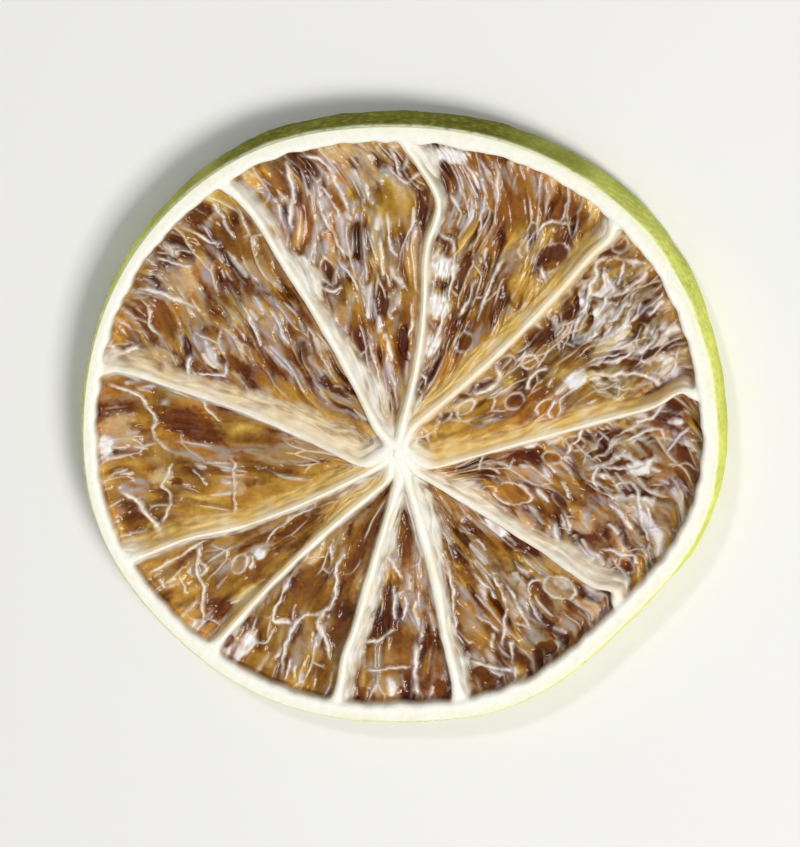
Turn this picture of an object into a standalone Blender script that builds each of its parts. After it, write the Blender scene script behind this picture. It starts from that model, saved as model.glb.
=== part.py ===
"""Dried lime slice: a thin round of lime cut across the fruit and dried until stiff.

A ring of white pith carries the green skin. Ten thin walls run from the ring to the pith core, which lies
off the middle, and bend on the way. Between them the pulp has dried to a thin folded film, sunk below the
walls on both faces. The slice is one piece, so it is one solid. It lies flat, with +Z up, and the origin is
under the middle of its outline, on the surface that it lies on.

The solid starts as a UV sphere. Its meridians become the slice's columns, which run out along the walls and
the folds of the pulp, and its rings become stations from the core, over the ring and back underneath.
"""

import math
from collections import namedtuple

import bmesh
import bpy
from mathutils import Vector, noise

MM = 0.001
TURN = 2 * math.pi

# Driving sizes, in millimetres
FLESH_RADIUS = 22.11
PITH_WIDTH = 1.06
PITH_WANDER = 0.08
SKIN_THICKNESS = 0.22
RIM_HEIGHT = 3.70
SKIN_BULGE = 0.30
SKIN_FLARE = 0.22
RIM_WAVE = 0.16
CORE_PLACE = Vector((-0.06, -2.39))
CORE_RADIUS = 1.05
CORE_SLOPE = 0.90
CORE_TOP = 3.05
CORE_FOOT = 0.45
FILM_MIDDLE = 1.80
FILM_THICKNESS = 1.10
FILM_HOLLOW = 0.16
FILM_WAVE = 0.14
FOLD_HEIGHT = 0.26
RIM_FILLET = 0.45
WALL_RELIEF = 0.62
WALL_TOP_DROP = 0.22
WALL_FOOT_LIFT = 0.30

# How the round of the flesh departs from a circle, and the width of the pith from an even one: the number of
# waves round the ring, with their cosine and sine shares in millimetres
FLESH_WAVES = (
    (1, -0.17, -0.20),
    (2, 0.44, 0.63),
    (3, 0.17, 0.07),
    (4, -0.04, 0.06),
    (5, 0.05, -0.12),
    (6, 0.05, -0.08),
    (7, 0.00, -0.09),
    (8, -0.08, -0.03),
)
PITH_WAVES = ((1, 0.15, 0.00), (2, -0.12, 0.00))

# A wall meets the ring at rim_angle in degrees. Hub, bow and kink are its sideways shifts in millimetres, to the
# left as seen from the core: where it leaves the core, halfway, and at kink_at, a share of its length. The kink
# dies away within kink_reach, a share of the length too.
Wall = namedtuple("Wall", "rim_angle hub bow kink kink_at kink_reach width")
WALLS = (
    Wall(7.3, -1.8, -0.48, 0.60, 0.94, 0.06, 0.46),
    Wall(43.3, 0.9, -0.60, -0.25, 0.95, 0.05, 0.56),
    Wall(86.8, 0.2, -1.70, -1.60, 0.82, 0.12, 0.40),
    Wall(124.4, 0.6, -0.55, -0.45, 0.87, 0.12, 0.62),
    Wall(170.7, 2.3, -0.30, -0.40, 0.90, 0.12, 0.50),
    Wall(208.4, 0.2, 0.95, -0.40, 0.79, 0.12, 0.44),
    Wall(231.3, 1.2, -0.25, 0.00, 0.85, 0.12, 0.56),
    Wall(256.8, 0.8, 0.00, -0.20, 0.82, 0.07, 0.74),
    Wall(281.2, 0.2, 0.24, -0.17, 0.72, 0.12, 0.86),
    Wall(320.6, -0.5, 0.00, 0.62, 0.95, 0.05, 0.50),
)

# How far a wall's foot reaches beyond its crest, how many columns of pulp a full turn holds, and the least of them
# between two walls
FOOT_REACH = 0.30
PULP_COLUMNS = 114
LEAST_COLUMNS = 7

# Shares of the way from the core to the ring, which are the flesh's stations on the top face
TOP_STATIONS = (0.045, 0.085, 0.14, 0.21, 0.30, 0.39, 0.49, 0.59, 0.69, 0.78, 0.86, 0.92, 0.965, 1.0)
UNDER_STATIONS = (1.0, 0.955, 0.88, 0.78, 0.68, 0.57, 0.46, 0.35, 0.25, 0.16, 0.09, 0.045)

# The ring's stations, from the pith's inner edge over the skin to the pith underneath: how far out, as a share of
# the pith and as millimetres, and how high, as a share of the rim's height
RIM_STATIONS = (
    (0.00, 0.20, 0.955),
    (0.25, 0.10, 1.000),
    (0.80, 0.00, 1.005),
    (1.00, 0.00, 0.985),
    (1.00, SKIN_THICKNESS, 0.900),
    (1.00, SKIN_THICKNESS + 0.5 * SKIN_BULGE, 0.670),
    (1.00, SKIN_THICKNESS + SKIN_BULGE, 0.400),
    (1.00, SKIN_THICKNESS + 0.8 * SKIN_FLARE, 0.130),
    (1.00, SKIN_FLARE, 0.000),
    (0.70, 0.00, 0.000),
    (0.15, 0.10, 0.000),
    (0.00, 0.12, 0.060),
)
PITH_STATIONS = 3
SKIN_STATIONS = 6

SKIN_GREEN = (0.42, 0.46, 0.08, 1.0)
PITH_CREAM = (0.93, 0.91, 0.76, 1.0)
PULP_BROWN = (0.33, 0.18, 0.08, 1.0)


def blend(low, high, value):
    """0 up to low, 1 from high on, and a smooth rise between them."""
    t = min(1.0, max(0.0, (value - low) / (high - low)))
    return t * t * (3 - 2 * t)


def mix(a, b, share):
    return a + (b - a) * share


def wander(x, y, seed):
    """A smooth number from about -1 to 1 that is always the same at the same place."""
    return 1.6 * noise.noise(Vector((x, y, 7.3 * seed)))


def around(waves, angle):
    """The sum of the waves at one place on the ring."""
    return sum(c * math.cos(n * angle) + s * math.sin(n * angle) for n, c, s in waves)


def flesh_radius(angle):
    return FLESH_RADIUS + around(FLESH_WAVES, angle)


def pith_width(angle):
    uneven = PITH_WANDER * wander(2 * math.cos(angle), 2 * math.sin(angle), 1)
    return PITH_WIDTH + around(PITH_WAVES, angle) + uneven


def on_ring(angle, outward):
    """The point on the ring that lies outward millimetres past the flesh."""
    radius = flesh_radius(angle) + outward
    return Vector((radius * math.cos(angle), radius * math.sin(angle)))


def wall_angle(index):
    turns, within = divmod(index, len(WALLS))
    return math.radians(WALLS[within].rim_angle) + turns * TURN


def wall_shift(wall, share):
    """How far a wall lies to the left of the straight line from the core to its place on the ring."""
    hub = wall.hub * (1 - share) ** 2 * blend(0.0, 0.12, share)
    bow = wall.bow * math.sin(math.pi * share)
    kink = wall.kink * math.exp(-(((share - wall.kink_at) / wall.kink_reach) ** 2)) * blend(1.0, 0.95, share)
    return hub + bow + kink


def flesh_point(share, angle, index):
    """A point of the flesh, at a share of the way out to the ring, between walls index and index + 1."""
    low, high = wall_angle(index), wall_angle(index + 1)
    across = (angle - low) / (high - low)
    shift = mix(
        wall_shift(WALLS[index % len(WALLS)], share),
        wall_shift(WALLS[(index + 1) % len(WALLS)], share),
        across,
    )
    line = on_ring(angle, 0) - CORE_PLACE
    left = Vector((-line.y, line.x)).normalized()
    return CORE_PLACE + line * share + left * shift


def half_width(wall, share):
    """Half the width of a wall's crest. It spreads where it grows out of the core and into the ring."""
    spread = 1 + 0.9 * blend(0.22, 0.05, share) + 1.1 * blend(0.90, 1.0, share)
    return 0.5 * wall.width * spread


# A column lies between two walls: the number of the first, crest, foot or pulp, its share of the way across from
# the first wall to the second, and the number of columns of pulp between the two
Column = namedtuple("Column", "wall kind share count")


def make_columns():
    """The columns in order round the slice."""
    columns = []
    for index in range(len(WALLS)):
        width = wall_angle(index + 1) - wall_angle(index)
        count = max(LEAST_COLUMNS, round(PULP_COLUMNS * width / TURN)) // 2 * 2 + 1
        columns.append(Column(index, "crest", 0.0, count))
        columns.append(Column(index, "foot", 0.0, count))
        columns += [Column(index, "pulp", (n + 1) / (count + 1), count) for n in range(count)]
        columns.append(Column(index, "foot", 1.0, count))
        columns.append(Column(index, "crest", 1.0, count))
    return columns


def column_angle(column, share):
    """The angle of a column at a share of the way out. Beside a wall it keeps its distance in millimetres."""
    low, high = wall_angle(column.wall), wall_angle(column.wall + 1)
    radius = share * FLESH_RADIUS
    reach = 0.0 if column.kind == "crest" else FOOT_REACH
    room = (0.25 if column.kind == "crest" else 0.42) * (high - low)
    start = low + min(room, (half_width(WALLS[column.wall], share) + reach) / radius)
    end = high - min(room, (half_width(WALLS[(column.wall + 1) % len(WALLS)], share) + reach) / radius)
    sway = 0.0
    if column.kind == "pulp":
        sway = 0.42 / column.count * wander(5 * share, 9 * column.share, 3 + column.wall)
    return mix(start, end, column.share + sway * blend(0.05, 0.3, share))


def rim_lift(angle):
    """The rim's gentle wave. Its low stretches are the flat feet that the slice lies on."""
    return RIM_WAVE * (math.sin(2 * angle + 0.6) + 0.5 * math.sin(3 * angle - 1.1))


def rim_top(angle):
    return RIM_HEIGHT + 0.6 * rim_lift(angle + 0.5)


def film_middle(share, angle):
    """The height of the pulp film's middle, which sags between the core and the ring."""
    sag = 0.18 * math.sin(math.pi * share)
    return FILM_MIDDLE - sag + FILM_WAVE * wander(2 * share * math.cos(angle), 2 * share * math.sin(angle), 2)


def fold(column, share, side):
    """The height of a fold of pulp. Each second column stands up, and folds are uneven along their length."""
    order = round(column.share * (column.count + 1))
    rise = 1 if order % 2 == 1 else -1
    uneven = 0.65 + 0.55 * wander(4.5 * share + side, 3.7 * column.share, 20 + column.wall)
    return FOLD_HEIGHT * rise * uneven * blend(0.10, 0.45, share) * mix(1, 0.6, blend(0.9, 1.0, share))


def film_height(column, share, side):
    """The height of the pulp film's face: hollow between the walls, folded, and rising to meet the ring."""
    reach = 0.5 * FILM_THICKNESS + RIM_FILLET * blend(0.88, 1.0, share)
    if column.kind == "pulp":
        reach += fold(column, share, side) - FILM_HOLLOW * math.sin(math.pi * column.share)
    return film_middle(share, column_angle(column, share)) + side * reach


def crest_height(column, share, side):
    """The height of a wall's crest, which starts as high as the core and ends just short of the rim."""
    angle = column_angle(column, share)
    core = CORE_TOP if side > 0 else CORE_FOOT
    rim = rim_top(angle) - WALL_TOP_DROP if side > 0 else WALL_FOOT_LIFT
    crest = film_middle(share, angle) + side * (0.5 * FILM_THICKNESS + WALL_RELIEF)
    return mix(mix(crest, core, blend(0.35, 0.05, share)), rim, blend(0.60, 1.0, share))


def flesh_height(column, share, side):
    """The height of the flesh. Side is 1 on the top face and -1 underneath."""
    if column.kind == "crest":
        return crest_height(column, share, side)
    core = CORE_TOP if side > 0 else CORE_FOOT
    radius = share * FLESH_RADIUS
    knob = 0.9 * blend(CORE_RADIUS + CORE_SLOPE, CORE_RADIUS, radius)
    return mix(film_height(column, share, side), core, knob)


def top_and_under(columns, share, side):
    """One ring of points on the flesh, on the top face or underneath."""
    points = []
    for column in columns:
        place = flesh_point(share, column_angle(column, share), column.wall)
        points.append((place.x, place.y, flesh_height(column, share, side)))
    return points


def rim_points(columns, pith_share, outward, height_share):
    """One ring of points on the pith or the skin."""
    points = []
    for column in columns:
        angle = column_angle(column, 1.0)
        place = on_ring(angle, pith_share * pith_width(angle) + outward)
        foot = max(0.0, rim_lift(angle))
        points.append((place.x, place.y, mix(foot, rim_top(angle), height_share)))
    return points


def make_rings(columns):
    """All rings of points, from the core's top over the rim to the core's underside."""
    rings = [top_and_under(columns, share, 1) for share in TOP_STATIONS]
    rings += [rim_points(columns, *station) for station in RIM_STATIONS]
    rings += [top_and_under(columns, share, -1) for share in UNDER_STATIONS]
    return rings


def outline_middle(rings):
    """The middle of the slice's outline, which becomes the origin."""
    xs = [point[0] for ring in rings for point in ring]
    ys = [point[1] for ring in rings for point in ring]
    return Vector(((min(xs) + max(xs)) / 2, (min(ys) + max(ys)) / 2, 0.0))


def make_material(name, colour, roughness):
    material = bpy.data.materials.new(name)
    material.use_nodes = True
    shader = material.node_tree.nodes["Principled BSDF"]
    shader.inputs["Base Color"].default_value = colour
    shader.inputs["Roughness"].default_value = roughness
    shader.inputs["Metallic"].default_value = 0.0
    return material


def face_material(ring, column):
    """0 for skin, 1 for pith and walls, 2 for pulp, by where a face lies."""
    rim_start = len(TOP_STATIONS)
    skin_start = rim_start + PITH_STATIONS
    if skin_start <= ring < skin_start + SKIN_STATIONS - 1:
        return 0
    on_rim = rim_start - 1 <= ring < rim_start + len(RIM_STATIONS)
    if on_rim or column.kind != "pulp":
        return 1
    return 2


def make_slice(collection):
    columns = make_columns()
    rings = make_rings(columns)
    middle = outline_middle(rings)
    core = Vector((CORE_PLACE.x, CORE_PLACE.y, 0.0)) - middle
    steps = len(rings) + 1

    form = bmesh.new()
    bmesh.ops.create_uvsphere(form, u_segments=len(columns), v_segments=steps, radius=1.0)
    place = {}
    for vert in form.verts:
        ring = round(math.acos(max(-1.0, min(1.0, vert.co.z))) / math.pi * steps)
        column = round(math.atan2(vert.co.y, vert.co.x) % TURN / TURN * len(columns)) % len(columns)
        place[vert] = (ring, column)
    for vert, (ring, column) in place.items():
        if ring == 0:
            vert.co = (core + Vector((0, 0, CORE_TOP + 0.06))) * MM
        elif ring == steps:
            vert.co = (core + Vector((0, 0, CORE_FOOT - 0.04))) * MM
        else:
            vert.co = (Vector(rings[ring - 1][column]) - middle) * MM
    for face in form.faces:
        ring = min(place[vert][0] for vert in face.verts) - 1
        column = columns[min(place[vert][1] for vert in face.verts)]
        face.material_index = face_material(ring, column)
        face.smooth = True

    mesh = bpy.data.meshes.new("lime_slice")
    form.to_mesh(mesh)
    form.free()
    mesh.materials.append(make_material("lime skin", SKIN_GREEN, 0.55))
    mesh.materials.append(make_material("lime pith", PITH_CREAM, 0.75))
    mesh.materials.append(make_material("dried pulp", PULP_BROWN, 0.28))
    slice_object = bpy.data.objects.new("lime_slice", mesh)
    collection.objects.link(slice_object)
    return slice_object


def clear_scene():
    for old in list(bpy.data.objects):
        bpy.data.objects.remove(old)


def main():
    clear_scene()
    collection = bpy.data.collections.new("dried lime slice")
    bpy.context.scene.collection.children.link(collection)
    make_slice(collection)


main()
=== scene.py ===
"""The looks of a dried lime slice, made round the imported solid.

The flesh is ten segments, each with its pulp film, its half of the walls on either side and its stretch of
pith, on both faces. The core is a lumpy plug of pith, and the skin is a band with oil glands. Places are
worked out in millimetres from the middle of the ring, and turned into the frame's metres when a mesh is made.
"""

import math
from collections import namedtuple

import bmesh
import bpy
import numpy as np
from mathutils import Matrix, Vector


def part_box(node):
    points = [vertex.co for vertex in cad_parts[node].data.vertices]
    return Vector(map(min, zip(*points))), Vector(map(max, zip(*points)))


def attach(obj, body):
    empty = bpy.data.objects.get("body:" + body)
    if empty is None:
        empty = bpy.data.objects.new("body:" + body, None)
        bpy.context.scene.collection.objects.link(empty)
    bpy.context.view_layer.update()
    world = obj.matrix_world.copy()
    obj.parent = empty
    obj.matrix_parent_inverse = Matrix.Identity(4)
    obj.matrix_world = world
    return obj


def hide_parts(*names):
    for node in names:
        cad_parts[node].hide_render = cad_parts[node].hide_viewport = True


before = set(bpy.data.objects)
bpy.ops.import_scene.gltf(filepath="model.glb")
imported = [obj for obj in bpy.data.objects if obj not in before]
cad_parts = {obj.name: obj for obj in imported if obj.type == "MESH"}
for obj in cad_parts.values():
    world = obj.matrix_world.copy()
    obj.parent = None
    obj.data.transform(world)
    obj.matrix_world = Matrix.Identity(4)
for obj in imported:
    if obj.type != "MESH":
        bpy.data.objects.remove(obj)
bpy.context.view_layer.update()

bl_info = {
    "name": "Dried lime slice",
    "version": (1, 0, 0),
    "blender": (4, 5, 0),
    "location": "3D View > Sidebar > Lime slice",
    "description": "Makes the flesh, core, skin and stage of a dried lime slice",
    "category": "Mesh",
}

NODE = "lime_slice"
FLESH_MATERIAL = "dried flesh"
TURN = 2 * math.pi

# The solid's width in the frame, against its width as drawn, gives the size of a drawn millimetre
DRAWN_WIDTH = 47.93
NODE_LOW, NODE_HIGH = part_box(NODE)
MM = (NODE_HIGH[0] - NODE_LOW[0]) / DRAWN_WIDTH
NODE_MIDDLE = ((NODE_HIGH[0] + NODE_LOW[0]) / 2, (NODE_HIGH[1] + NODE_LOW[1]) / 2, NODE_LOW[2])

# Sizes of the slice, in millimetres
FLESH_RADIUS = 22.11
PITH_WIDTH = 1.06
RIM_HEIGHT = 3.70
RIM_WAVE = 0.16
CORE_PLACE = (-0.06, -2.39)
CORE_RADIUS = 0.95
CORE_TOP = 3.05
CORE_FOOT = 0.45
FILM_MIDDLE = 1.80
FILM_THICKNESS = 1.02
WALL_RELIEF = 0.66
WALL_TOP_DROP = 0.16
WALL_FOOT_LIFT = 0.26

# How the round of the flesh departs from a circle, and the width of the pith from an even one: the number of
# waves round the ring, with their cosine and sine shares in millimetres
FLESH_WAVES = (
    (1, -0.17, -0.20),
    (2, 0.44, 0.63),
    (3, 0.17, 0.07),
    (4, -0.04, 0.06),
    (5, 0.05, -0.12),
    (6, 0.05, -0.08),
    (7, 0.00, -0.09),
    (8, -0.08, -0.03),
)
PITH_WAVES = ((1, 0.15, 0.00), (2, -0.12, 0.00))

# The skin's section: how far out from the pith and how high, as a share of the rim's height. Its root is
# hidden in the pith.
SKIN_ROOT = -0.16
SKIN_SECTION = (
    (SKIN_ROOT, 0.965),
    (0.00, 0.990),
    (0.12, 0.970),
    (0.22, 0.900),
    (0.31, 0.780),
    (0.40, 0.640),
    (0.47, 0.500),
    (0.50, 0.370),
    (0.49, 0.240),
    (0.42, 0.120),
    (0.32, 0.035),
    (0.20, 0.004),
    (0.06, 0.004),
    (SKIN_ROOT, 0.030),
)
SKIN_BACK = ((SKIN_ROOT, 0.35), (SKIN_ROOT, 0.65))

# The bearing of the middle of the skin's olive stretch, in degrees
# The olive stretch is partly the skin's own colour and partly painted shade on the side away from the light,
# and the yellow-green elsewhere is partly painted light
OLIVE_BEARING = 100

# More glands for each square metre than fit at their spacing, so that the spacing alone thins them out
GLAND_DENSITY = 1.2e7
GLAND_SEED = 11

# A wall meets the ring at rim_angle in degrees. Hub, bow and kink are its sideways shifts in millimetres, to
# the left as seen from the core: where it leaves the core, halfway, and at kink_at, a share of its length.
Wall = namedtuple("Wall", "rim_angle hub bow kink kink_at kink_reach width")
WALLS = (
    Wall(7.3, -1.8, -0.48, 0.60, 0.94, 0.06, 0.54),
    Wall(43.3, 0.9, -0.60, -0.25, 0.95, 0.05, 0.56),
    Wall(86.8, 0.2, -1.70, -1.60, 0.82, 0.12, 0.44),
    Wall(124.4, 0.6, -0.55, -0.45, 0.87, 0.12, 0.62),
    Wall(170.7, 2.3, -0.30, -0.40, 0.90, 0.12, 0.50),
    Wall(208.4, 0.2, 0.95, -0.40, 0.79, 0.12, 0.50),
    Wall(231.3, 1.2, -0.25, 0.00, 0.85, 0.12, 0.56),
    Wall(256.8, 0.8, 0.00, -0.20, 0.82, 0.07, 0.62),
    Wall(281.2, 0.2, 0.24, -0.17, 0.72, 0.12, 0.70),
    Wall(320.6, -0.5, 0.00, 0.62, 0.95, 0.05, 0.50),
)

# The skirt that slopes from a wall's crest to the pulp, on its right and on its left as seen from the core:
# its width in millimetres near the core, halfway and near the ring, and how golden it is
Skirt = namedtuple("Skirt", "inner middle outer gold")
SKIRTS = (
    (Skirt(0.42, 0.34, 0.30, 0.30), Skirt(1.20, 1.05, 0.65, 1.00)),
    (Skirt(0.42, 0.28, 0.42, 0.60), Skirt(1.20, 0.90, 1.05, 1.00)),
    (Skirt(0.36, 0.34, 0.34, 0.00), Skirt(0.50, 0.42, 0.25, 0.60)),
    (Skirt(1.40, 0.66, 0.72, 0.05), Skirt(0.22, 0.22, 0.22, 0.20)),
    (Skirt(1.55, 1.20, 1.15, 0.50), Skirt(0.40, 0.35, 0.65, 0.05)),
    (Skirt(0.95, 0.90, 1.20, 1.00), Skirt(0.35, 0.50, 0.60, 0.15)),
    (Skirt(1.10, 0.16, 0.30, 0.95), Skirt(0.40, 0.22, 0.34, 0.00)),
    (Skirt(0.28, 0.20, 0.20, 0.40), Skirt(0.85, 0.85, 0.95, 0.00)),
    (Skirt(0.85, 0.50, 0.28, 0.05), Skirt(1.20, 0.42, 0.75, 0.00)),
    (Skirt(0.30, 0.30, 0.34, 0.10), Skirt(1.05, 0.80, 0.95, 0.25)),
)

# Pale membrane that leans on a wall beyond its skirt: the wall, the side (1 to the left as seen from the
# core), where along the wall it is widest, how far it reaches along it, and its width in millimetres
Apron = namedtuple("Apron", "wall side at reach width")
APRONS = (
    Apron(3, -1, 0.62, 0.07, 0.80),
    Apron(4, -1, 0.36, 0.16, 0.60),
    Apron(2, -1, 0.97, 0.07, 0.90),
    Apron(9, 1, 0.78, 0.10, 0.60),
    Apron(8, 1, 0.36, 0.16, 0.50),
    Apron(7, 1, 0.50, 0.20, 0.20),
)

# What a segment looks like: tone 0 is dark red-brown and 1 pale amber, grain is how strongly the pulp is
# wrinkled, strokes how densely short raised fibres lie on it, cells how much of it shows the outlines of
# juice sacs, bubbles how many round cells it has, haze how milky it is together with the sheen painted on
# it, and slant the turn of its fibres away from its middle line in degrees
Segment = namedtuple("Segment", "tone grain strokes cells bubbles haze slant")
SEGMENTS = (
    Segment(0.47, 0.9, 0.45, 0.40, 0.9, 0.45, 6),
    Segment(0.45, 0.9, 0.38, 0.25, 0.6, 0.55, 10),
    Segment(0.43, 1.0, 0.62, 0.20, 0.2, 0.58, -6),
    Segment(0.45, 0.9, 0.58, 0.20, 0.1, 0.78, -20),
    Segment(0.47, 0.5, 0.20, 0.10, 0.0, 0.32, 0),
    Segment(0.47, 0.5, 0.18, 0.15, 0.0, 0.40, 0),
    Segment(0.42, 0.6, 0.22, 0.20, 0.0, 0.35, 6),
    Segment(0.42, 0.9, 0.55, 0.10, 0.0, 0.72, 0),
    Segment(0.41, 1.0, 0.60, 0.15, 0.1, 0.48, 8),
    Segment(0.45, 1.0, 0.62, 0.30, 0.5, 0.62, -42),
)

# What a kind of mark brings to the film: its tone, its milkiness together with the sheen painted on it, how
# much white painted highlight it has, how much of the strokes and of the wrinkles stay on it, how far it
# bulges in millimetres, how clear the pale rim round it is, and how greenish it is
Kind = namedtuple("Kind", "tone haze white strokes grain bulge rim green")
KINDS = {
    "amber": Kind(0.67, 0.0, 0.0, 0.35, 0.95, 0.05, 0.0, 0.0),
    "ochre": Kind(0.47, 0.0, 0.0, 0.22, 0.60, 0.02, 0.0, 0.3),
    "brown": Kind(0.28, 0.0, 0.0, 0.30, 0.60, -0.04, 0.0, 0.1),
    "dark": Kind(0.12, 0.0, 0.0, 0.20, 0.50, -0.14, 0.0, 0.0),
    "dull": Kind(0.47, 0.90, 0.0, 0.45, 0.50, 0.03, 0.0, 0.25),
    "pale": Kind(0.74, 0.80, 0.15, 0.35, 0.60, 0.06, 0.0, 0.4),
    "lilac": Kind(0.46, 1.25, 0.0, 1.40, 1.20, 0.0, 0.0, 0.1),
    "busy": Kind(0.41, 0.90, 0.0, 1.70, 1.20, 0.0, 0.0, 0.5),
    "white": Kind(0.84, 0.50, 1.1, 0.10, 0.60, 0.12, 0.0, 0.2),
    "glint": Kind(0.48, 0.80, 0.45, 0.60, 1.00, 0.08, 0.0, 0.3),
    "amber cell": Kind(0.54, 0.0, 0.0, 0.05, 0.45, 0.05, 0.8, 0.0),
    "brown cell": Kind(0.24, 0.0, 0.0, 0.05, 0.45, -0.06, 0.52, 0.0),
    "dark cell": Kind(0.18, 0.0, 0.0, 0.05, 0.45, -0.10, 0.55, 0.0),
    "pale cell": Kind(0.48, 0.60, 0.1, 0.10, 0.45, 0.06, 0.75, 0.4),
}
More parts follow.
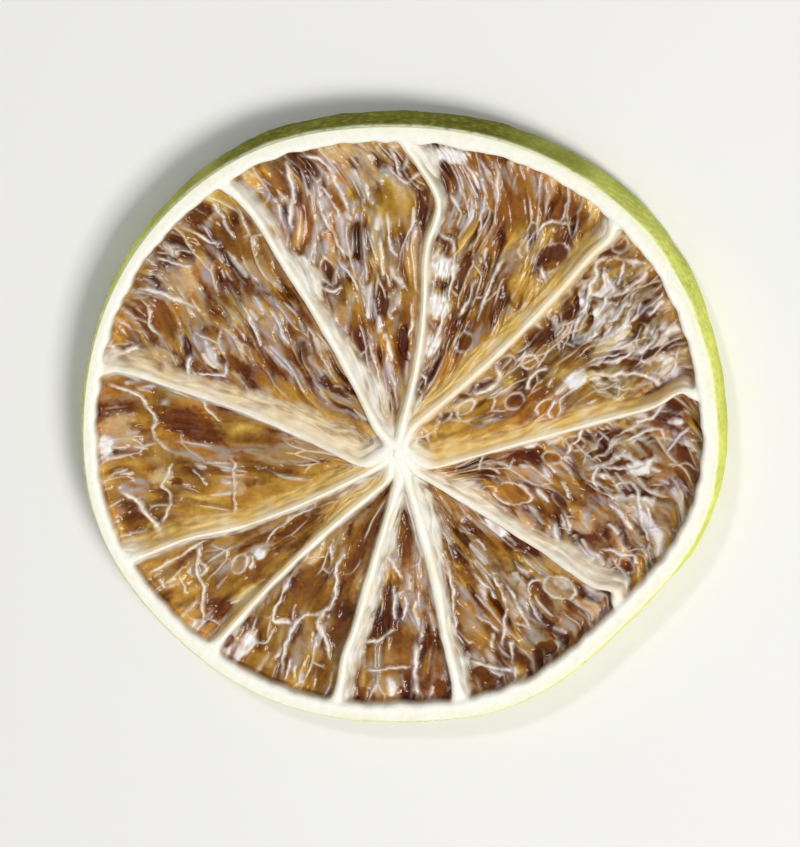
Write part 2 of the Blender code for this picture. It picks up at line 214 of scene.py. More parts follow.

# The marks on each segment's film: their kind, their place as shares of the way out and across, half their
# length and half their width in millimetres, and their turn from the line out of the core in degrees
# The white and glint marks are painted highlights, and the milky kinds, such as lilac and busy, carry painted
# sheen.
Mark = namedtuple("Mark", "kind share across long wide turn", defaults=(0,))
MARKS = (
    (
        Mark("amber", 0.35, 0.14, 4.8, 0.80),
        Mark("busy", 0.78, 0.66, 3.6, 2.40, 15),
        Mark("dark cell", 0.18, 0.75, 0.6, 0.30),
        Mark("pale cell", 0.25, 0.70, 0.8, 0.45),
        Mark("dark cell", 0.34, 0.78, 0.9, 0.55),
        Mark("brown cell", 0.44, 0.84, 0.7, 0.55),
        Mark("amber cell", 0.50, 0.72, 0.6, 0.50),
        Mark("amber cell", 0.50, 0.22, 0.9, 0.75),
        Mark("brown cell", 0.40, 0.45, 0.8, 0.55, 10),
        Mark("brown", 0.52, 0.58, 0.7, 0.50, 20),
        Mark("brown", 0.61, 0.52, 0.8, 0.45),
        Mark("ochre", 0.66, 0.20, 1.2, 0.70),
        Mark("glint", 0.68, 0.62, 0.7, 0.40, -10),
        Mark("white", 0.605, 0.37, 0.8, 0.48, 10),
        Mark("brown", 0.49, 0.40, 0.8, 0.40),
        Mark("pale", 0.73, 0.48, 1.0, 0.60, 10),
        Mark("dull", 0.84, 0.14, 1.3, 0.70),
        Mark("brown cell", 0.95, 0.92, 0.7, 0.55),
    ),
    (
        Mark("amber", 0.36, 0.12, 5.0, 0.70),
        Mark("brown", 0.57, 0.38, 2.4, 1.00),
        Mark("ochre", 0.85, 0.50, 2.3, 1.60),
        Mark("dark", 0.56, 0.55, 2.2, 0.35),
        Mark("dark", 0.60, 0.68, 1.8, 0.35),
        Mark("brown cell", 0.40, 0.40, 0.8, 0.60),
        Mark("amber", 0.30, 0.42, 1.3, 0.45),
        Mark("amber", 0.64, 0.20, 1.4, 0.95),
        Mark("brown", 0.585, 0.22, 0.22, 0.80),
        Mark("dark cell", 0.775, 0.17, 1.45, 0.92, -20),
        Mark("ochre", 0.755, 0.14, 0.60, 0.35, -20),
        Mark("brown", 0.45, 0.62, 1.5, 0.60),
        Mark("lilac", 0.84, 0.80, 2.6, 1.40),
        Mark("white", 0.355, 0.84, 0.75, 0.62),
        Mark("dark", 0.415, 0.86, 0.40, 0.60),
        Mark("white", 0.485, 0.85, 0.85, 0.80),
        Mark("dark", 0.545, 0.86, 0.35, 0.70),
        Mark("white", 0.605, 0.86, 0.80, 0.88),
        Mark("dark", 0.68, 0.85, 0.60, 0.55),
        Mark("white", 0.965, 0.82, 0.6, 1.30),
        Mark("brown", 0.92, 0.24, 1.3, 1.60),
        Mark("dull", 0.94, 0.46, 0.9, 2.0),
        Mark("amber", 0.86, 0.06, 1.2, 0.45),
    ),
    (
        Mark("lilac", 0.70, 0.57, 4.2, 1.70),
        Mark("pale", 0.22, 0.62, 2.2, 0.40),
        Mark("ochre", 0.50, 0.16, 2.0, 0.60),
        Mark("dark", 0.78, 0.10, 2.0, 0.45),
        Mark("white", 0.64, 0.90, 0.9, 0.55),
        Mark("dark cell", 0.60, 0.76, 1.0, 0.48),
        Mark("ochre", 0.45, 0.66, 1.0, 0.50),
        Mark("dark", 0.47, 0.40, 1.1, 0.45),
        Mark("dark", 0.35, 0.20, 1.0, 0.35),
        Mark("glint", 0.82, 0.66, 1.6, 0.40),
        Mark("pale", 0.90, 0.32, 1.6, 0.70),
        Mark("amber", 0.965, 0.86, 0.7, 0.90),
        Mark("pale", 0.965, 0.40, 0.7, 1.50),
        Mark("brown cell", 0.94, 0.10, 0.9, 0.55),
    ),
    (
        Mark("lilac", 0.50, 0.33, 4.4, 2.00, -16),
        Mark("brown", 0.60, 0.06, 6.0, 0.50),
        Mark("amber", 0.38, 0.72, 3.0, 0.90),
        Mark("brown", 0.82, 0.18, 1.6, 1.00),
        Mark("dark", 0.965, 0.20, 0.6, 0.90),
        Mark("pale", 0.87, 0.50, 1.3, 1.00),
        Mark("ochre", 0.92, 0.32, 1.0, 0.60),
        Mark("brown", 0.87, 0.74, 1.6, 1.40),
        Mark("amber", 0.965, 0.86, 0.6, 0.80),
        Mark("pale", 0.82, 0.89, 1.2, 0.50),
        Mark("lilac", 0.70, 0.77, 1.4, 0.90),
        Mark("dark", 0.60, 0.74, 1.3, 0.50),
        Mark("brown", 0.62, 0.52, 0.9, 0.45, -20),
        Mark("amber", 0.12, 0.30, 0.9, 0.40),
    ),
    (
        Mark("dull", 0.38, 0.32, 4.0, 1.20),
        Mark("dull", 0.63, 0.42, 3.0, 0.95),
        Mark("dark", 0.70, 0.25, 2.3, 1.20, -12),
        Mark("amber", 0.50, 0.82, 6.5, 0.90),
        Mark("amber", 0.26, 0.55, 1.8, 0.40),
        Mark("pale", 0.93, 0.36, 1.3, 1.30),
        Mark("ochre", 0.95, 0.12, 1.0, 0.90),
        Mark("lilac", 0.86, 0.07, 1.0, 0.40),
        Mark("white", 0.975, 0.43, 0.5, 0.80),
        Mark("lilac", 0.90, 0.67, 1.1, 0.85, 20),
        Mark("dark", 0.94, 0.84, 0.9, 0.80),
        Mark("amber", 0.95, 0.95, 0.9, 0.60),
        Mark("pale", 0.80, 0.62, 0.8, 0.60),
        Mark("dark", 0.76, 0.66, 0.4, 0.30),
        Mark("pale", 0.56, 0.72, 0.5, 0.45),
        Mark("ochre", 0.84, 0.48, 0.5, 0.35),
    ),
    (
        Mark("dull", 0.40, 0.16, 4.4, 0.60),
        Mark("amber", 0.30, 0.70, 2.4, 0.40),
        Mark("dark", 0.48, 0.62, 2.2, 0.85),
        Mark("brown", 0.66, 0.78, 1.4, 0.80),
        Mark("white", 0.63, 0.57, 0.5, 0.35, 30),
        Mark("amber", 0.88, 0.12, 2.0, 0.60),
        Mark("dull", 0.74, 0.38, 1.3, 1.20),
        Mark("pale cell", 0.71, 0.55, 0.8, 0.50, 20),
        Mark("amber", 0.90, 0.52, 1.5, 1.60),
        Mark("dark", 0.88, 0.84, 0.8, 0.50),
        Mark("brown", 0.12, 0.35, 0.7, 0.30),
        Mark("pale cell", 0.84, 0.38, 0.7, 0.50),
    ),
    (
        Mark("brown", 0.40, 0.78, 5.6, 0.60),
        Mark("dull", 0.35, 0.20, 2.4, 0.45),
        Mark("brown", 0.62, 0.33, 2.8, 0.85),
        Mark("brown", 0.50, 0.70, 3.0, 0.50),
        Mark("glint", 0.78, 0.70, 1.3, 0.28),
        Mark("dull", 0.68, 0.10, 1.8, 0.40),
        Mark("ochre", 0.86, 0.29, 0.9, 0.55),
        Mark("white", 0.93, 0.19, 1.2, 0.50),
        Mark("dull", 0.87, 0.58, 1.5, 0.70),
        Mark("brown", 0.90, 0.84, 1.4, 0.50),
        Mark("dark", 0.955, 0.05, 0.5, 0.40),
        Mark("glint", 0.955, 0.68, 0.4, 0.22, 20),
    ),
    (
        Mark("lilac", 0.62, 0.62, 2.8, 1.30),
        Mark("brown", 0.37, 0.55, 2.4, 0.50),
        Mark("dark", 0.66, 0.30, 2.4, 0.38),
        Mark("brown", 0.77, 0.55, 1.0, 1.20),
        Mark("dull", 0.84, 0.30, 1.2, 1.20),
        Mark("dull", 0.86, 0.85, 1.2, 0.60),
        Mark("white", 0.95, 0.42, 0.6, 0.30),
        Mark("dark", 0.965, 0.56, 0.7, 0.55),
        Mark("brown", 0.96, 0.86, 0.7, 0.80),
        Mark("brown", 0.975, 0.20, 0.4, 0.90),
    ),
    (
        Mark("lilac", 0.28, 0.34, 1.8, 0.50),
        Mark("busy", 0.72, 0.48, 4.4, 1.90),
        Mark("dull", 0.30, 0.68, 1.4, 0.35),
        Mark("white", 0.47, 0.89, 0.9, 0.30),
        Mark("ochre", 0.54, 0.70, 1.5, 0.55),
        Mark("dark", 0.59, 0.92, 1.3, 0.40),
        Mark("brown", 0.56, 0.30, 1.0, 0.40),
        Mark("pale cell", 0.80, 0.83, 1.25, 0.85, 20),
        Mark("glint", 0.80, 0.87, 0.7, 0.40, 10),
        Mark("glint", 0.90, 0.93, 0.8, 0.45),
        Mark("dull", 0.94, 0.70, 0.8, 0.90),
        Mark("dark", 0.95, 0.46, 0.6, 0.90),
        Mark("dark", 0.94, 0.12, 0.8, 0.70),
    ),
    (
        Mark("busy", 0.78, 0.50, 3.6, 2.60, -30),
        Mark("pale", 0.28, 0.16, 3.0, 0.55),
        Mark("dark", 0.37, 0.80, 2.0, 0.50),
        Mark("amber cell", 0.42, 0.34, 1.35, 0.80, 14),
        Mark("pale", 0.53, 0.14, 0.9, 0.50),
        Mark("white", 0.42, 0.93, 0.5, 0.30),
        Mark("glint", 0.50, 0.92, 0.5, 0.35),
        Mark("brown cell", 0.50, 0.76, 0.7, 0.45),
        Mark("brown cell", 0.57, 0.86, 0.8, 0.55),
        Mark("dark", 0.67, 0.88, 1.2, 0.50),
        Mark("ochre", 0.56, 0.52, 1.4, 0.60, -20),
        Mark("dull", 0.67, 0.46, 1.5, 0.80, -20),
        Mark("pale", 0.70, 0.26, 1.1, 0.40, 10),
        Mark("white", 0.79, 0.67, 0.70, 0.52),
        Mark("brown cell", 0.925, 0.12, 0.8, 0.50),
        Mark("pale", 0.885, 0.20, 0.5, 0.40),
        Mark("dull", 0.93, 0.45, 0.9, 1.50),
        Mark("brown", 0.95, 0.66, 0.9, 1.40),
        Mark("dark", 0.92, 0.93, 1.0, 0.60),
        Mark("white", 0.91, 0.86, 0.5, 0.28),
    ),
)

# Pale threads in the film: the segment, half the width in millimetres, and the places that it passes, in
# hundredths of the way out and across
Thread = namedtuple("Thread", "segment wide places")
THREADS = (
    Thread(0, 0.14, ((90, 90), (86, 93), (83, 89), (79, 86), (75, 79), (70, 76))),
    Thread(0, 0.09, ((90, 89), (93, 84), (96, 78), (98, 74))),
    Thread(0, 0.09, ((93, 83), (90, 80), (86, 75))),
    Thread(0, 0.14, ((97, 70), (94, 69), (91, 69))),
    Thread(0, 0.10, ((86, 88), (83, 81), (80, 79))),
    Thread(0, 0.10, ((82, 75), (78, 70), (75, 69))),
    Thread(0, 0.11, ((85, 64), (80, 60), (77, 60))),
    Thread(0, 0.10, ((90, 58), (86, 53), (82, 50))),
    Thread(0, 0.13, ((97, 54), (93, 50), (90, 49))),
    Thread(0, 0.17, ((91, 36), (86, 33), (80, 34))),
    Thread(0, 0.11, ((69, 30), (76, 25), (82, 20), (86, 12), (87, 7))),
    Thread(0, 0.10, ((72, 37), (78, 35), (83, 36))),
    Thread(0, 0.10, ((96, 24), (93, 13), (90, 10))),
    Thread(0, 0.16, ((29, 82), (33, 74), (37, 73), (40, 80), (41, 92))),
    Thread(0, 0.11, ((45, 50), (47, 58), (51, 60), (54, 57))),
    Thread(0, 0.12, ((58, 6), (51, 12), (50, 22), (54, 29))),
    Thread(
        1, 0.12, ((72, 97), (70, 90), (69, 83), (65, 79), (59, 76), (52, 76), (44, 77), (37, 80), (32, 88))
    ),
    Thread(1, 0.11, ((97, 60), (90, 61), (83, 62), (77, 60))),
    Thread(1, 0.10, ((87, 68), (80, 71), (75, 69), (71, 66))),
    Thread(1, 0.08, ((98, 36), (92, 34), (87, 32))),
    Thread(1, 0.08, ((96, 24), (90, 24), (86, 26))),
    Thread(1, 0.09, ((90, 16), (87, 27), (83, 33), (78, 35), (74, 33))),
    Thread(1, 0.10, ((74, 20), (71, 12), (70, 4))),
    Thread(1, 0.10, ((70, 44), (63, 44), (56, 42), (50, 43))),
    Thread(1, 0.09, ((60, 58), (53, 56), (46, 60))),
    Thread(1, 0.09, ((26, 95), (25, 72), (22, 66))),
    Thread(1, 0.08, ((21, 92), (20, 62))),
    Thread(1, 0.10, ((84, 92), (79, 86), (74, 83))),
    Thread(1, 0.09, ((88, 84), (82, 82), (77, 77))),
    Thread(2, 0.16, ((98, 66), (94, 71), (87, 77), (81, 85), (75, 88))),
    Thread(2, 0.12, ((98, 58), (95, 52), (90, 52), (84, 54), (76, 51))),
    Thread(2, 0.09, ((87, 62), (80, 59), (75, 58))),
    Thread(2, 0.12, ((92, 20), (86, 17), (88, 9), (90, 2))),
    Thread(2, 0.10, ((98, 10), (92, 14), (87, 17))),
    Thread(2, 0.10, ((76, 29), (71, 28), (66, 26), (62, 21))),
    Thread(2, 0.10, ((69, 33), (60, 34), (55, 34))),
    Thread(2, 0.09, ((84, 66), (75, 66), (68, 62), (63, 60))),
    Thread(2, 0.10, ((64, 67), (57, 60), (52, 58))),
    Thread(2, 0.10, ((57, 88), (54, 78), (55, 70))),
    Thread(2, 0.12, ((38, 43), (33, 40), (28, 38))),
    Thread(2, 0.10, ((36, 62), (27, 60), (20, 58))),
    Thread(2, 0.08, ((48, 14), (42, 11), (36, 16))),
    Thread(3, 0.09, ((98, 10), (93, 13), (88, 16), (83, 17))),
    Thread(3, 0.10, ((98, 29), (93, 28), (89, 28), (86, 25))),
    Thread(3, 0.10, ((98, 47), (94, 47), (90, 45), (87, 43))),
    Thread(3, 0.13, ((98, 64), (93, 62), (87, 61), (84, 60), (79, 58))),
    Thread(3, 0.09, ((95, 67), (91, 72), (89, 78), (85, 81))),
    Thread(3, 0.13, ((98, 95), (94, 93), (90, 89))),
    Thread(3, 0.14, ((74, 82), (73, 89), (71, 96))),
    Thread(3, 0.09, ((62, 74), (61, 83), (66, 88), (70, 90))),
    Thread(3, 0.09, ((40, 18), (34, 21), (29, 24))),
    Thread(3, 0.10, ((60, 27), (54, 30), (48, 36))),
    Thread(4, 0.10, ((67, 4), (63, 12), (59, 19))),
    Thread(4, 0.10, ((98, 9), (93, 12), (88, 14), (84, 20), (81, 27), (82, 34), (80, 42), (75, 46))),
    Thread(4, 0.10, ((76, 53), (78, 60), (81, 68), (79, 74), (82, 84), (87, 91))),
    Thread(4, 0.14, ((95, 66), (90, 76), (87, 90), (87, 98))),
    Thread(4, 0.08, ((57, 46), (55, 50), (56, 60), (58, 77), (61, 93))),
    Thread(4, 0.08, ((70, 56), (67, 62), (66, 68))),
    Thread(5, 0.11, ((77, 13), (81, 28), (85, 42), (87, 57), (92, 70), (97, 83))),
    Thread(5, 0.10, ((98, 20), (92, 18), (86, 18), (79, 14), (74, 12))),
    Thread(5, 0.10, ((96, 27), (97, 38))),
    Thread(5, 0.09, ((60, 48), (54, 37), (48, 29), (42, 27), (36, 32))),
    Thread(5, 0.09, ((66, 52), (67, 62), (70, 70))),
    Thread(5, 0.08, ((90, 32), (91, 42), (93, 50))),
    Thread(
        6, 0.12, ((42, 45), (51, 51), (57, 62), (64, 67), (69, 63), (73, 48), (78, 45), (88, 47), (98, 55))
    ),
    Thread(6, 0.13, ((68, 64), (73, 62), (77, 71), (81, 80), (87, 87))),
    Thread(6, 0.11, ((57, 8), (64, 12), (69, 16), (73, 20), (78, 22), (80, 28), (78, 36), (78, 45))),
    Thread(6, 0.08, ((90, 55), (94, 57), (98, 58))),
    Thread(6, 0.08, ((91, 60), (97, 63))),
    Thread(6, 0.08, ((42, 22), (46, 30), (50, 42))),
    Thread(6, 0.09, ((97, 20), (91, 24), (88, 32), (82, 30))),
    Thread(7, 0.11, ((78, 14), (76, 28), (73, 37), (72, 46))),
    Thread(7, 0.20, ((77, 67), (88, 63), (98, 64))),
    Thread(7, 0.09, ((89, 18), (88, 32), (87, 45), (87, 59))),
    Thread(7, 0.16, ((90, 39), (94, 41), (98, 42))),
    Thread(7, 0.12, ((42, 22), (47, 36), (52, 46))),
    Thread(7, 0.12, ((57, 38), (62, 40), (68, 42))),
    Thread(7, 0.11, ((58, 52), (63, 55), (69, 50))),
    Thread(7, 0.12, ((60, 68), (64, 66), (70, 70))),
    Thread(8, 0.11, ((55, 36), (62, 41), (69, 43))),
    Thread(8, 0.10, ((58, 53), (65, 50), (73, 47), (78, 39), (82, 34), (87, 30))),
    Thread(8, 0.10, ((65, 56), (74, 54), (80, 52), (86, 50))),
    Thread(8, 0.09, ((74, 81), (71, 72), (76, 62), (82, 60), (88, 58))),
    Thread(8, 0.09, ((45, 62), (51, 60))),
    Thread(8, 0.08, ((61, 84), (68, 82), (71, 81))),
    Thread(8, 0.11, ((79, 30), (85, 24))),
    Thread(8, 0.10, ((85, 37), (93, 30))),
    Thread(8, 0.09, ((70, 22), (75, 30), (80, 34))),
    Thread(8, 0.10, ((87, 8), (90, 17), (93, 22), (96, 30))),
    Thread(8, 0.11, ((44, 17), (57, 13), (66, 9), (76, 7))),
    Thread(9, 0.11, ((48, 45), (55, 36))),
    Thread(9, 0.10, ((49, 71), (52, 62))),
    Thread(9, 0.10, ((55, 56), (61, 41))),
    Thread(9, 0.10, ((66, 69), (65, 60), (68, 53))),
    Thread(9, 0.12, ((73, 46), (79, 40), (85, 33))),
    Thread(9, 0.11, ((77, 60), (81, 53), (87, 38), (91, 31), (94, 27))),
    Thread(9, 0.10, ((84, 50), (88, 42), (91, 35))),
    Thread(9, 0.08, ((90, 61), (94, 56), (97, 50))),
    Thread(9, 0.11, ((80, 17), (90, 19), (93, 18), (95, 13))),
    Thread(9, 0.09, ((74, 82), (78, 85), (83, 87), (86, 85), (87, 78))),
    Thread(9, 0.13, ((77, 92), (83, 93), (88, 98))),
    Thread(9, 0.08, ((96, 83), (91, 78), (88, 73))),
    Thread(9, 0.11, ((51, 97), (56, 84), (55, 76))),
    Thread(9, 0.10, ((56, 85), (59, 90), (60, 98))),
    Thread(9, 0.09, ((27, 92), (27, 62))),
)

# Ridges that fan out from a point of a segment: the segment, the point's shares of the way out and across,
# the turn of the fan's middle and half its opening in degrees, and the distances in millimetres between which
# it lies
# Their valleys are painted darker as shade, and parts of their crests get a painted highlight.
Fan = namedtuple("Fan", "segment share across turn opening near far")
FANS = (
    Fan(0, 0.57, 0.50, 8, 64, 2.0, 8.6),
    Fan(9, 0.55, 0.62, 14, 34, 2.4, 7.0),
)

# The marks, threads and fans of a segment lie on its own top face, and on the underside of one further round
UNDERSIDE_SHIFT = 4

# How far apart the columns of the flesh's mesh lie, in millimetres, and how many lie close beside each wall
COLUMN_PITCH = 0.086
NEAR_WALL_PITCH = 0.066
NEAR_WALL_COLUMNS = 12

# How many rows a face has up to the edge's share of the way out, from there to the ring, and over the pith
Rows = namedtuple("Rows", "flesh edge pith edge_share")
TOP_ROWS = Rows(236, 14, 19, 0.968)
UNDER_ROWS = Rows(112, 7, 10, 0.96)
SIDE_ROWS = 4
FIRST_SHARE = 0.004
SKIN_COLUMNS = 1240
SKIN_ROWS_PER_MM = 11

# The least slope that a field is divided by, where its distance from a line is worked out, and the least step
# between two points of the mesh
LEAST_SLOPE = 1e-3
LEAST_STEP = 1e-4

# Farther than anything that a search for the nearest thing can find
FAR_AWAY = 9.0

# How many places the slice's outline is measured at
OUTLINE_PLACES = 2881

# How far from the core the fibres of a segment turn by its slant, in millimetres
FIBRE_PIVOT = 12

# A place beyond the pith, where the side's rows lie when the two faces' rows are matched
PAST_PITH = 2.5

# The map for the bake: how much of its half each face fills, and its distance from the edge
MAP_FILL = 0.98
MAP_MARGIN = 0.005

# The stage, in metres, with the camera's lens and sensor in millimetres, and how high up the slice it aims
FLOOR_SIZE = 1.5
FLOOR_DROP = 0.00002
LENS = 250
SENSOR = 36
AIM_HEIGHT = 0.6


def rise(low, high, value):
    """0 up to low, 1 from high on, and a smooth rise between them. It falls where high is less than low."""
    t = np.clip((value - low) / (high - low), 0, 1)
    return t * t * (3 - 2 * t)


def mix(a, b, share):
    return a + (b - a) * share


def bell(value, reach):
    """1 where the value is 0, falling off smoothly within about twice the reach on either side."""
    return np.exp(-((value / reach) ** 2))


def soft_least(a, b, reach):
    """The lesser of two numbers, rounded off where they are within reach of each other."""
    h = np.clip(0.5 + 0.5 * (b - a) / reach, 0, 1)
    return b + (a - b) * h - reach * h * (1 - h)


def draw(column, row, seed):
    """A number from 0 to 1 for each place of a lattice, always the same for the same place and seed."""
    number = (column.astype(np.int64) * 73856093) ^ (row.astype(np.int64) * 19349663) ^ (seed * 83492791)
    number = (number ^ (number >> 13)) * 1274126177
    number = number ^ (number >> 16)
    return (number & 0xFFFFFF) / float(0x1000000)


def noise(x, y, seed):
    """Smooth noise from about -1 to 1 with bumps about one unit wide."""
    left, low = np.floor(x), np.floor(y)
    across, up = x - left, y - low
    total = np.zeros(np.broadcast(x, y).shape)
    for step_x in (0, 1):
        for step_y in (0, 1):
            angle = TURN * draw(left + step_x, low + step_y, seed)
            dx, dy = across - step_x, up - step_y
            weight = rise(1, 0, np.abs(dx)) * rise(1, 0, np.abs(dy))
            total += weight * (np.cos(angle) * dx + np.sin(angle) * dy)
    return 1.6 * total


def cells(x, y, seed):
    """Distances to the nearest and second nearest of scattered points, and the nearest's random number."""
    left, low = np.floor(x), np.floor(y)
    nearest = np.full(x.shape, FAR_AWAY)
    second = np.full(x.shape, FAR_AWAY)
    own = np.zeros(x.shape)
    for step_x in (-1, 0, 1):
        for step_y in (-1, 0, 1):
            column, row = left + step_x, low + step_y
            dx = column + 0.12 + 0.76 * draw(column, row, seed) - x
            dy = row + 0.12 + 0.76 * draw(column, row, seed + 1) - y
            distance = np.hypot(dx, dy)
            closer = distance < nearest
            second = np.where(closer, nearest, np.minimum(second, distance))
            nearest = np.where(closer, distance, nearest)
            own = np.where(closer, draw(column, row, seed + 2), own)
    return nearest, second, own


def around(waves, angle):
    """The sum of the waves at each place on the ring."""
    return sum(c * np.cos(n * angle) + s * np.sin(n * angle) for n, c, s in waves)


def flesh_radius(angle):
    return FLESH_RADIUS + around(FLESH_WAVES, angle)


def pith_width(angle):
    uneven = 0.06 * noise(2.2 * np.cos(angle), 2.2 * np.sin(angle), 401)
    return PITH_WIDTH + around(PITH_WAVES, angle) + uneven


def rim_lift(angle):
    """The rim's gentle wave. Its low stretches are the flat feet that the slice lies on."""
    return RIM_WAVE * (np.sin(2 * angle + 0.6) + 0.5 * np.sin(3 * angle - 1.1))


def rim_top(angle):
    return RIM_HEIGHT + 0.6 * rim_lift(angle + 0.5)


def rim_foot(angle):
    return np.maximum(0.0, rim_lift(angle))


def outline_middle():
    """The middle of the slice's outline, which is the frame's origin, as seen from the ring's middle."""
    angle = np.linspace(0, TURN, OUTLINE_PLACES)
    out = flesh_radius(angle) + pith_width(angle) + max(outward for outward, _ in SKIN_SECTION)
    x, y = out * np.cos(angle), out * np.sin(angle)
    return (x.max() + x.min()) / 2, (y.max() + y.min()) / 2


MIDDLE = outline_middle()


def to_frame(x, y, z):
    """Points in the frame's metres from drawn millimetres."""
    points = np.stack(np.broadcast_arrays(x - MIDDLE[0], y - MIDDLE[1], z), axis=-1)
    return points * MM + np.array(NODE_MIDDLE)


def wall_of(index):
    return WALLS[index % len(WALLS)]


def wall_angle(index):
    turns, within = divmod(index, len(WALLS))
    return math.radians(WALLS[within].rim_angle) + turns * TURN


def segment_angles(index):
    """The angles at which a segment's walls meet the ring."""
    return wall_angle(index), wall_angle(index + 1)


def wall_shift(wall, share):
    """How far a wall lies to the left of the straight line from the core to its place on the ring."""
    hub = wall.hub * (1 - share) ** 2 * rise(0.0, 0.12, share)
    bow = wall.bow * np.sin(np.pi * share)
    kink = wall.kink * bell(share - wall.kink_at, wall.kink_reach) * rise(1.0, 0.95, share)
    return hub + bow + kink


def half_width(index, share):
    """Half the width of a wall's crest. It spreads where it grows out of the core and into the ring."""
    wall = wall_of(index)
    spread = 1 + 0.5 * rise(0.20, 0.05, share) + 0.6 * rise(0.93, 1.0, share)
    uneven = 1 + 0.25 * noise(share * 9, share * 0 + 0.5, 310 + index % len(WALLS))
    return 0.36 * wall.width * spread * uneven


def flesh_place(index, share, angle):
    """The plan place of a share of the way from the core to the ring, between walls index and index + 1."""
    low, high = segment_angles(index)
    low_shift, high_shift = wall_shift(wall_of(index), share), wall_shift(wall_of(index + 1), share)
    shift = mix(low_shift, high_shift, (angle - low) / (high - low))
    line_x = flesh_radius(angle) * np.cos(angle) - CORE_PLACE[0]
    line_y = flesh_radius(angle) * np.sin(angle) - CORE_PLACE[1]
    length = np.hypot(line_x, line_y)
    x = CORE_PLACE[0] + line_x * share - line_y / length * shift
    y = CORE_PLACE[1] + line_y * share + line_x / length * shift
    return x, y, length


def flesh_columns(index):
    """How many columns a segment has, and where each lies: near columns keep their distance from a wall."""
    low, high = segment_angles(index)
    arc = (high - low) * FLESH_RADIUS
    near = NEAR_WALL_COLUMNS * NEAR_WALL_PITCH
    count = 2 * NEAR_WALL_COLUMNS + round((arc - 2 * near) / COLUMN_PITCH) + 1
    return count, arc


def column_angles(index, share):
    """The angle of every column of a segment at the given shares of the way out."""
    count, arc = flesh_columns(index)
    low, high = segment_angles(index)
    wide = np.minimum(share, 1.0) * arc
    near = np.minimum(NEAR_WALL_COLUMNS * NEAR_WALL_PITCH, 0.3 * wide)
    number = np.arange(count, dtype=float)[None, :]
    last = count - 1
    left = number / NEAR_WALL_COLUMNS * near
    right = wide - (last - number) / NEAR_WALL_COLUMNS * near
    between = near + (number - NEAR_WALL_COLUMNS) / (last - 2 * NEAR_WALL_COLUMNS) * (wide - 2 * near)
    place = np.where(number >= last - NEAR_WALL_COLUMNS, right, between)
    place = np.where(number <= NEAR_WALL_COLUMNS, left, place)
    return low + (high - low) * place / wide


def grid_steps(x, y):
    """How far each grid point lies from the next one, along the rows and along the columns."""
    steps = (np.hypot(np.gradient(x, axis=axis), np.gradient(y, axis=axis)) for axis in (0, 1))
    return [np.maximum(step, LEAST_STEP) for step in steps]


def steepness(field, steps):
    """How fast a field changes for each millimetre on the slice, also beside a sharp valley."""
    along = np.abs(np.diff(field, axis=0))
    across = np.abs(np.diff(field, axis=1))
    along = np.maximum(np.pad(along, ((0, 1), (0, 0))), np.pad(along, ((1, 0), (0, 0))))
    across = np.maximum(np.pad(across, ((0, 0), (0, 1))), np.pad(across, ((0, 0), (1, 0))))
    return np.hypot(along / steps[0], across / steps[1])


def line_distance(field, steps, level=0):
    """How far each place is, in millimetres, from the lines where a field has the given level."""
    return np.abs(field - level) / (steepness(field, steps) + LEAST_SLOPE)


def wall_distance(index, side, share, x, y):
    """The distance from a wall's middle line, square to the wall."""
    wall_index = index if side < 0 else index + 1
    wall = wall_of(wall_index)
    wall_x, wall_y, length = flesh_place(index, share, wall_angle(wall_index))
    slope = (wall_shift(wall, share + 0.01) - wall_shift(wall, share - 0.01)) / 0.02 / length
    return np.hypot(x - wall_x, y - wall_y) / np.sqrt(1 + slope**2)


def skirt_of(index, side):
    """The skirt of the wall on one side of a segment."""
    return SKIRTS[index % len(WALLS)][1] if side < 0 else SKIRTS[(index + 1) % len(WALLS)][0]


def apron_width(index, side, share):
    """How far a wall's skirt and its pale membrane lean into a segment from one side of it."""
    wall_index = (index if side < 0 else index + 1) % len(WALLS)
    skirt = skirt_of(index, side)
    width = mix(mix(skirt.inner, skirt.middle, rise(0.20, 0.50, share)), skirt.outer, rise(0.50, 0.85, share))
    for apron in APRONS:
        if apron.wall == wall_index and apron.side == -side:
            width = width + apron.width * bell(share - apron.at, apron.reach)
    return width


def strokes(a, b, pitch, reach, width, seed, density):
    """Short raised fibres scattered along b: how much of one lies at each place, and its random number."""
    column, row = np.floor(a / pitch[0]), np.floor(b / pitch[1])
    most = np.zeros(a.shape)
    own = np.zeros(a.shape)
    for step_a in (-1, 0, 1):
        for step_b in (-2, -1, 0, 1, 2):
            at_a, at_b = column + step_a, row + step_b
            chance = [draw(at_a, at_b, seed + number) for number in range(9)]
            along = b - (at_b + chance[0]) * pitch[1]
            half = reach * mix(0.35, 1.0, chance[1])
            end = along / half
            lean = 0.5 * (chance[2] - 0.5)
            bow = 0.4 * (chance[3] - 0.5)
            beside = a - (at_a + chance[4]) * pitch[0] - lean * along - bow * half * end**2
            taper = np.sqrt(np.clip(1 - end**2, 0, 1))
            there = rise(0, 0.25, density - chance[5])
            strength = there * mix(0.45, 1.0, chance[6]) * rise(0, 0.5, taper)
            wide = width * mix(0.4, 1.0, taper) * mix(0.6, 1.4, chance[7])
            amount = strength * bell(beside, wide)
            own = np.where(amount > most, chance[8], own)
            most = np.maximum(most, amount)
    return most, own


def smooth_line(points, steps):
    """A curve through the points, with so many steps from each point to the next."""
    ends = np.concatenate([2 * points[:1] - points[1:2], points, 2 * points[-1:] - points[-2:-1]])
    t = np.arange(steps)[:, None] / steps
    pieces = [
        b + 0.5 * ((c - a) * t + (2 * a - 5 * b + 4 * c - d) * t**2 + (3 * b - a - 3 * c + d) * t**3)
        for a, b, c, d in zip(ends, ends[1:], ends[2:], ends[3:])
    ]
    return np.concatenate(pieces + [points[-1:]])


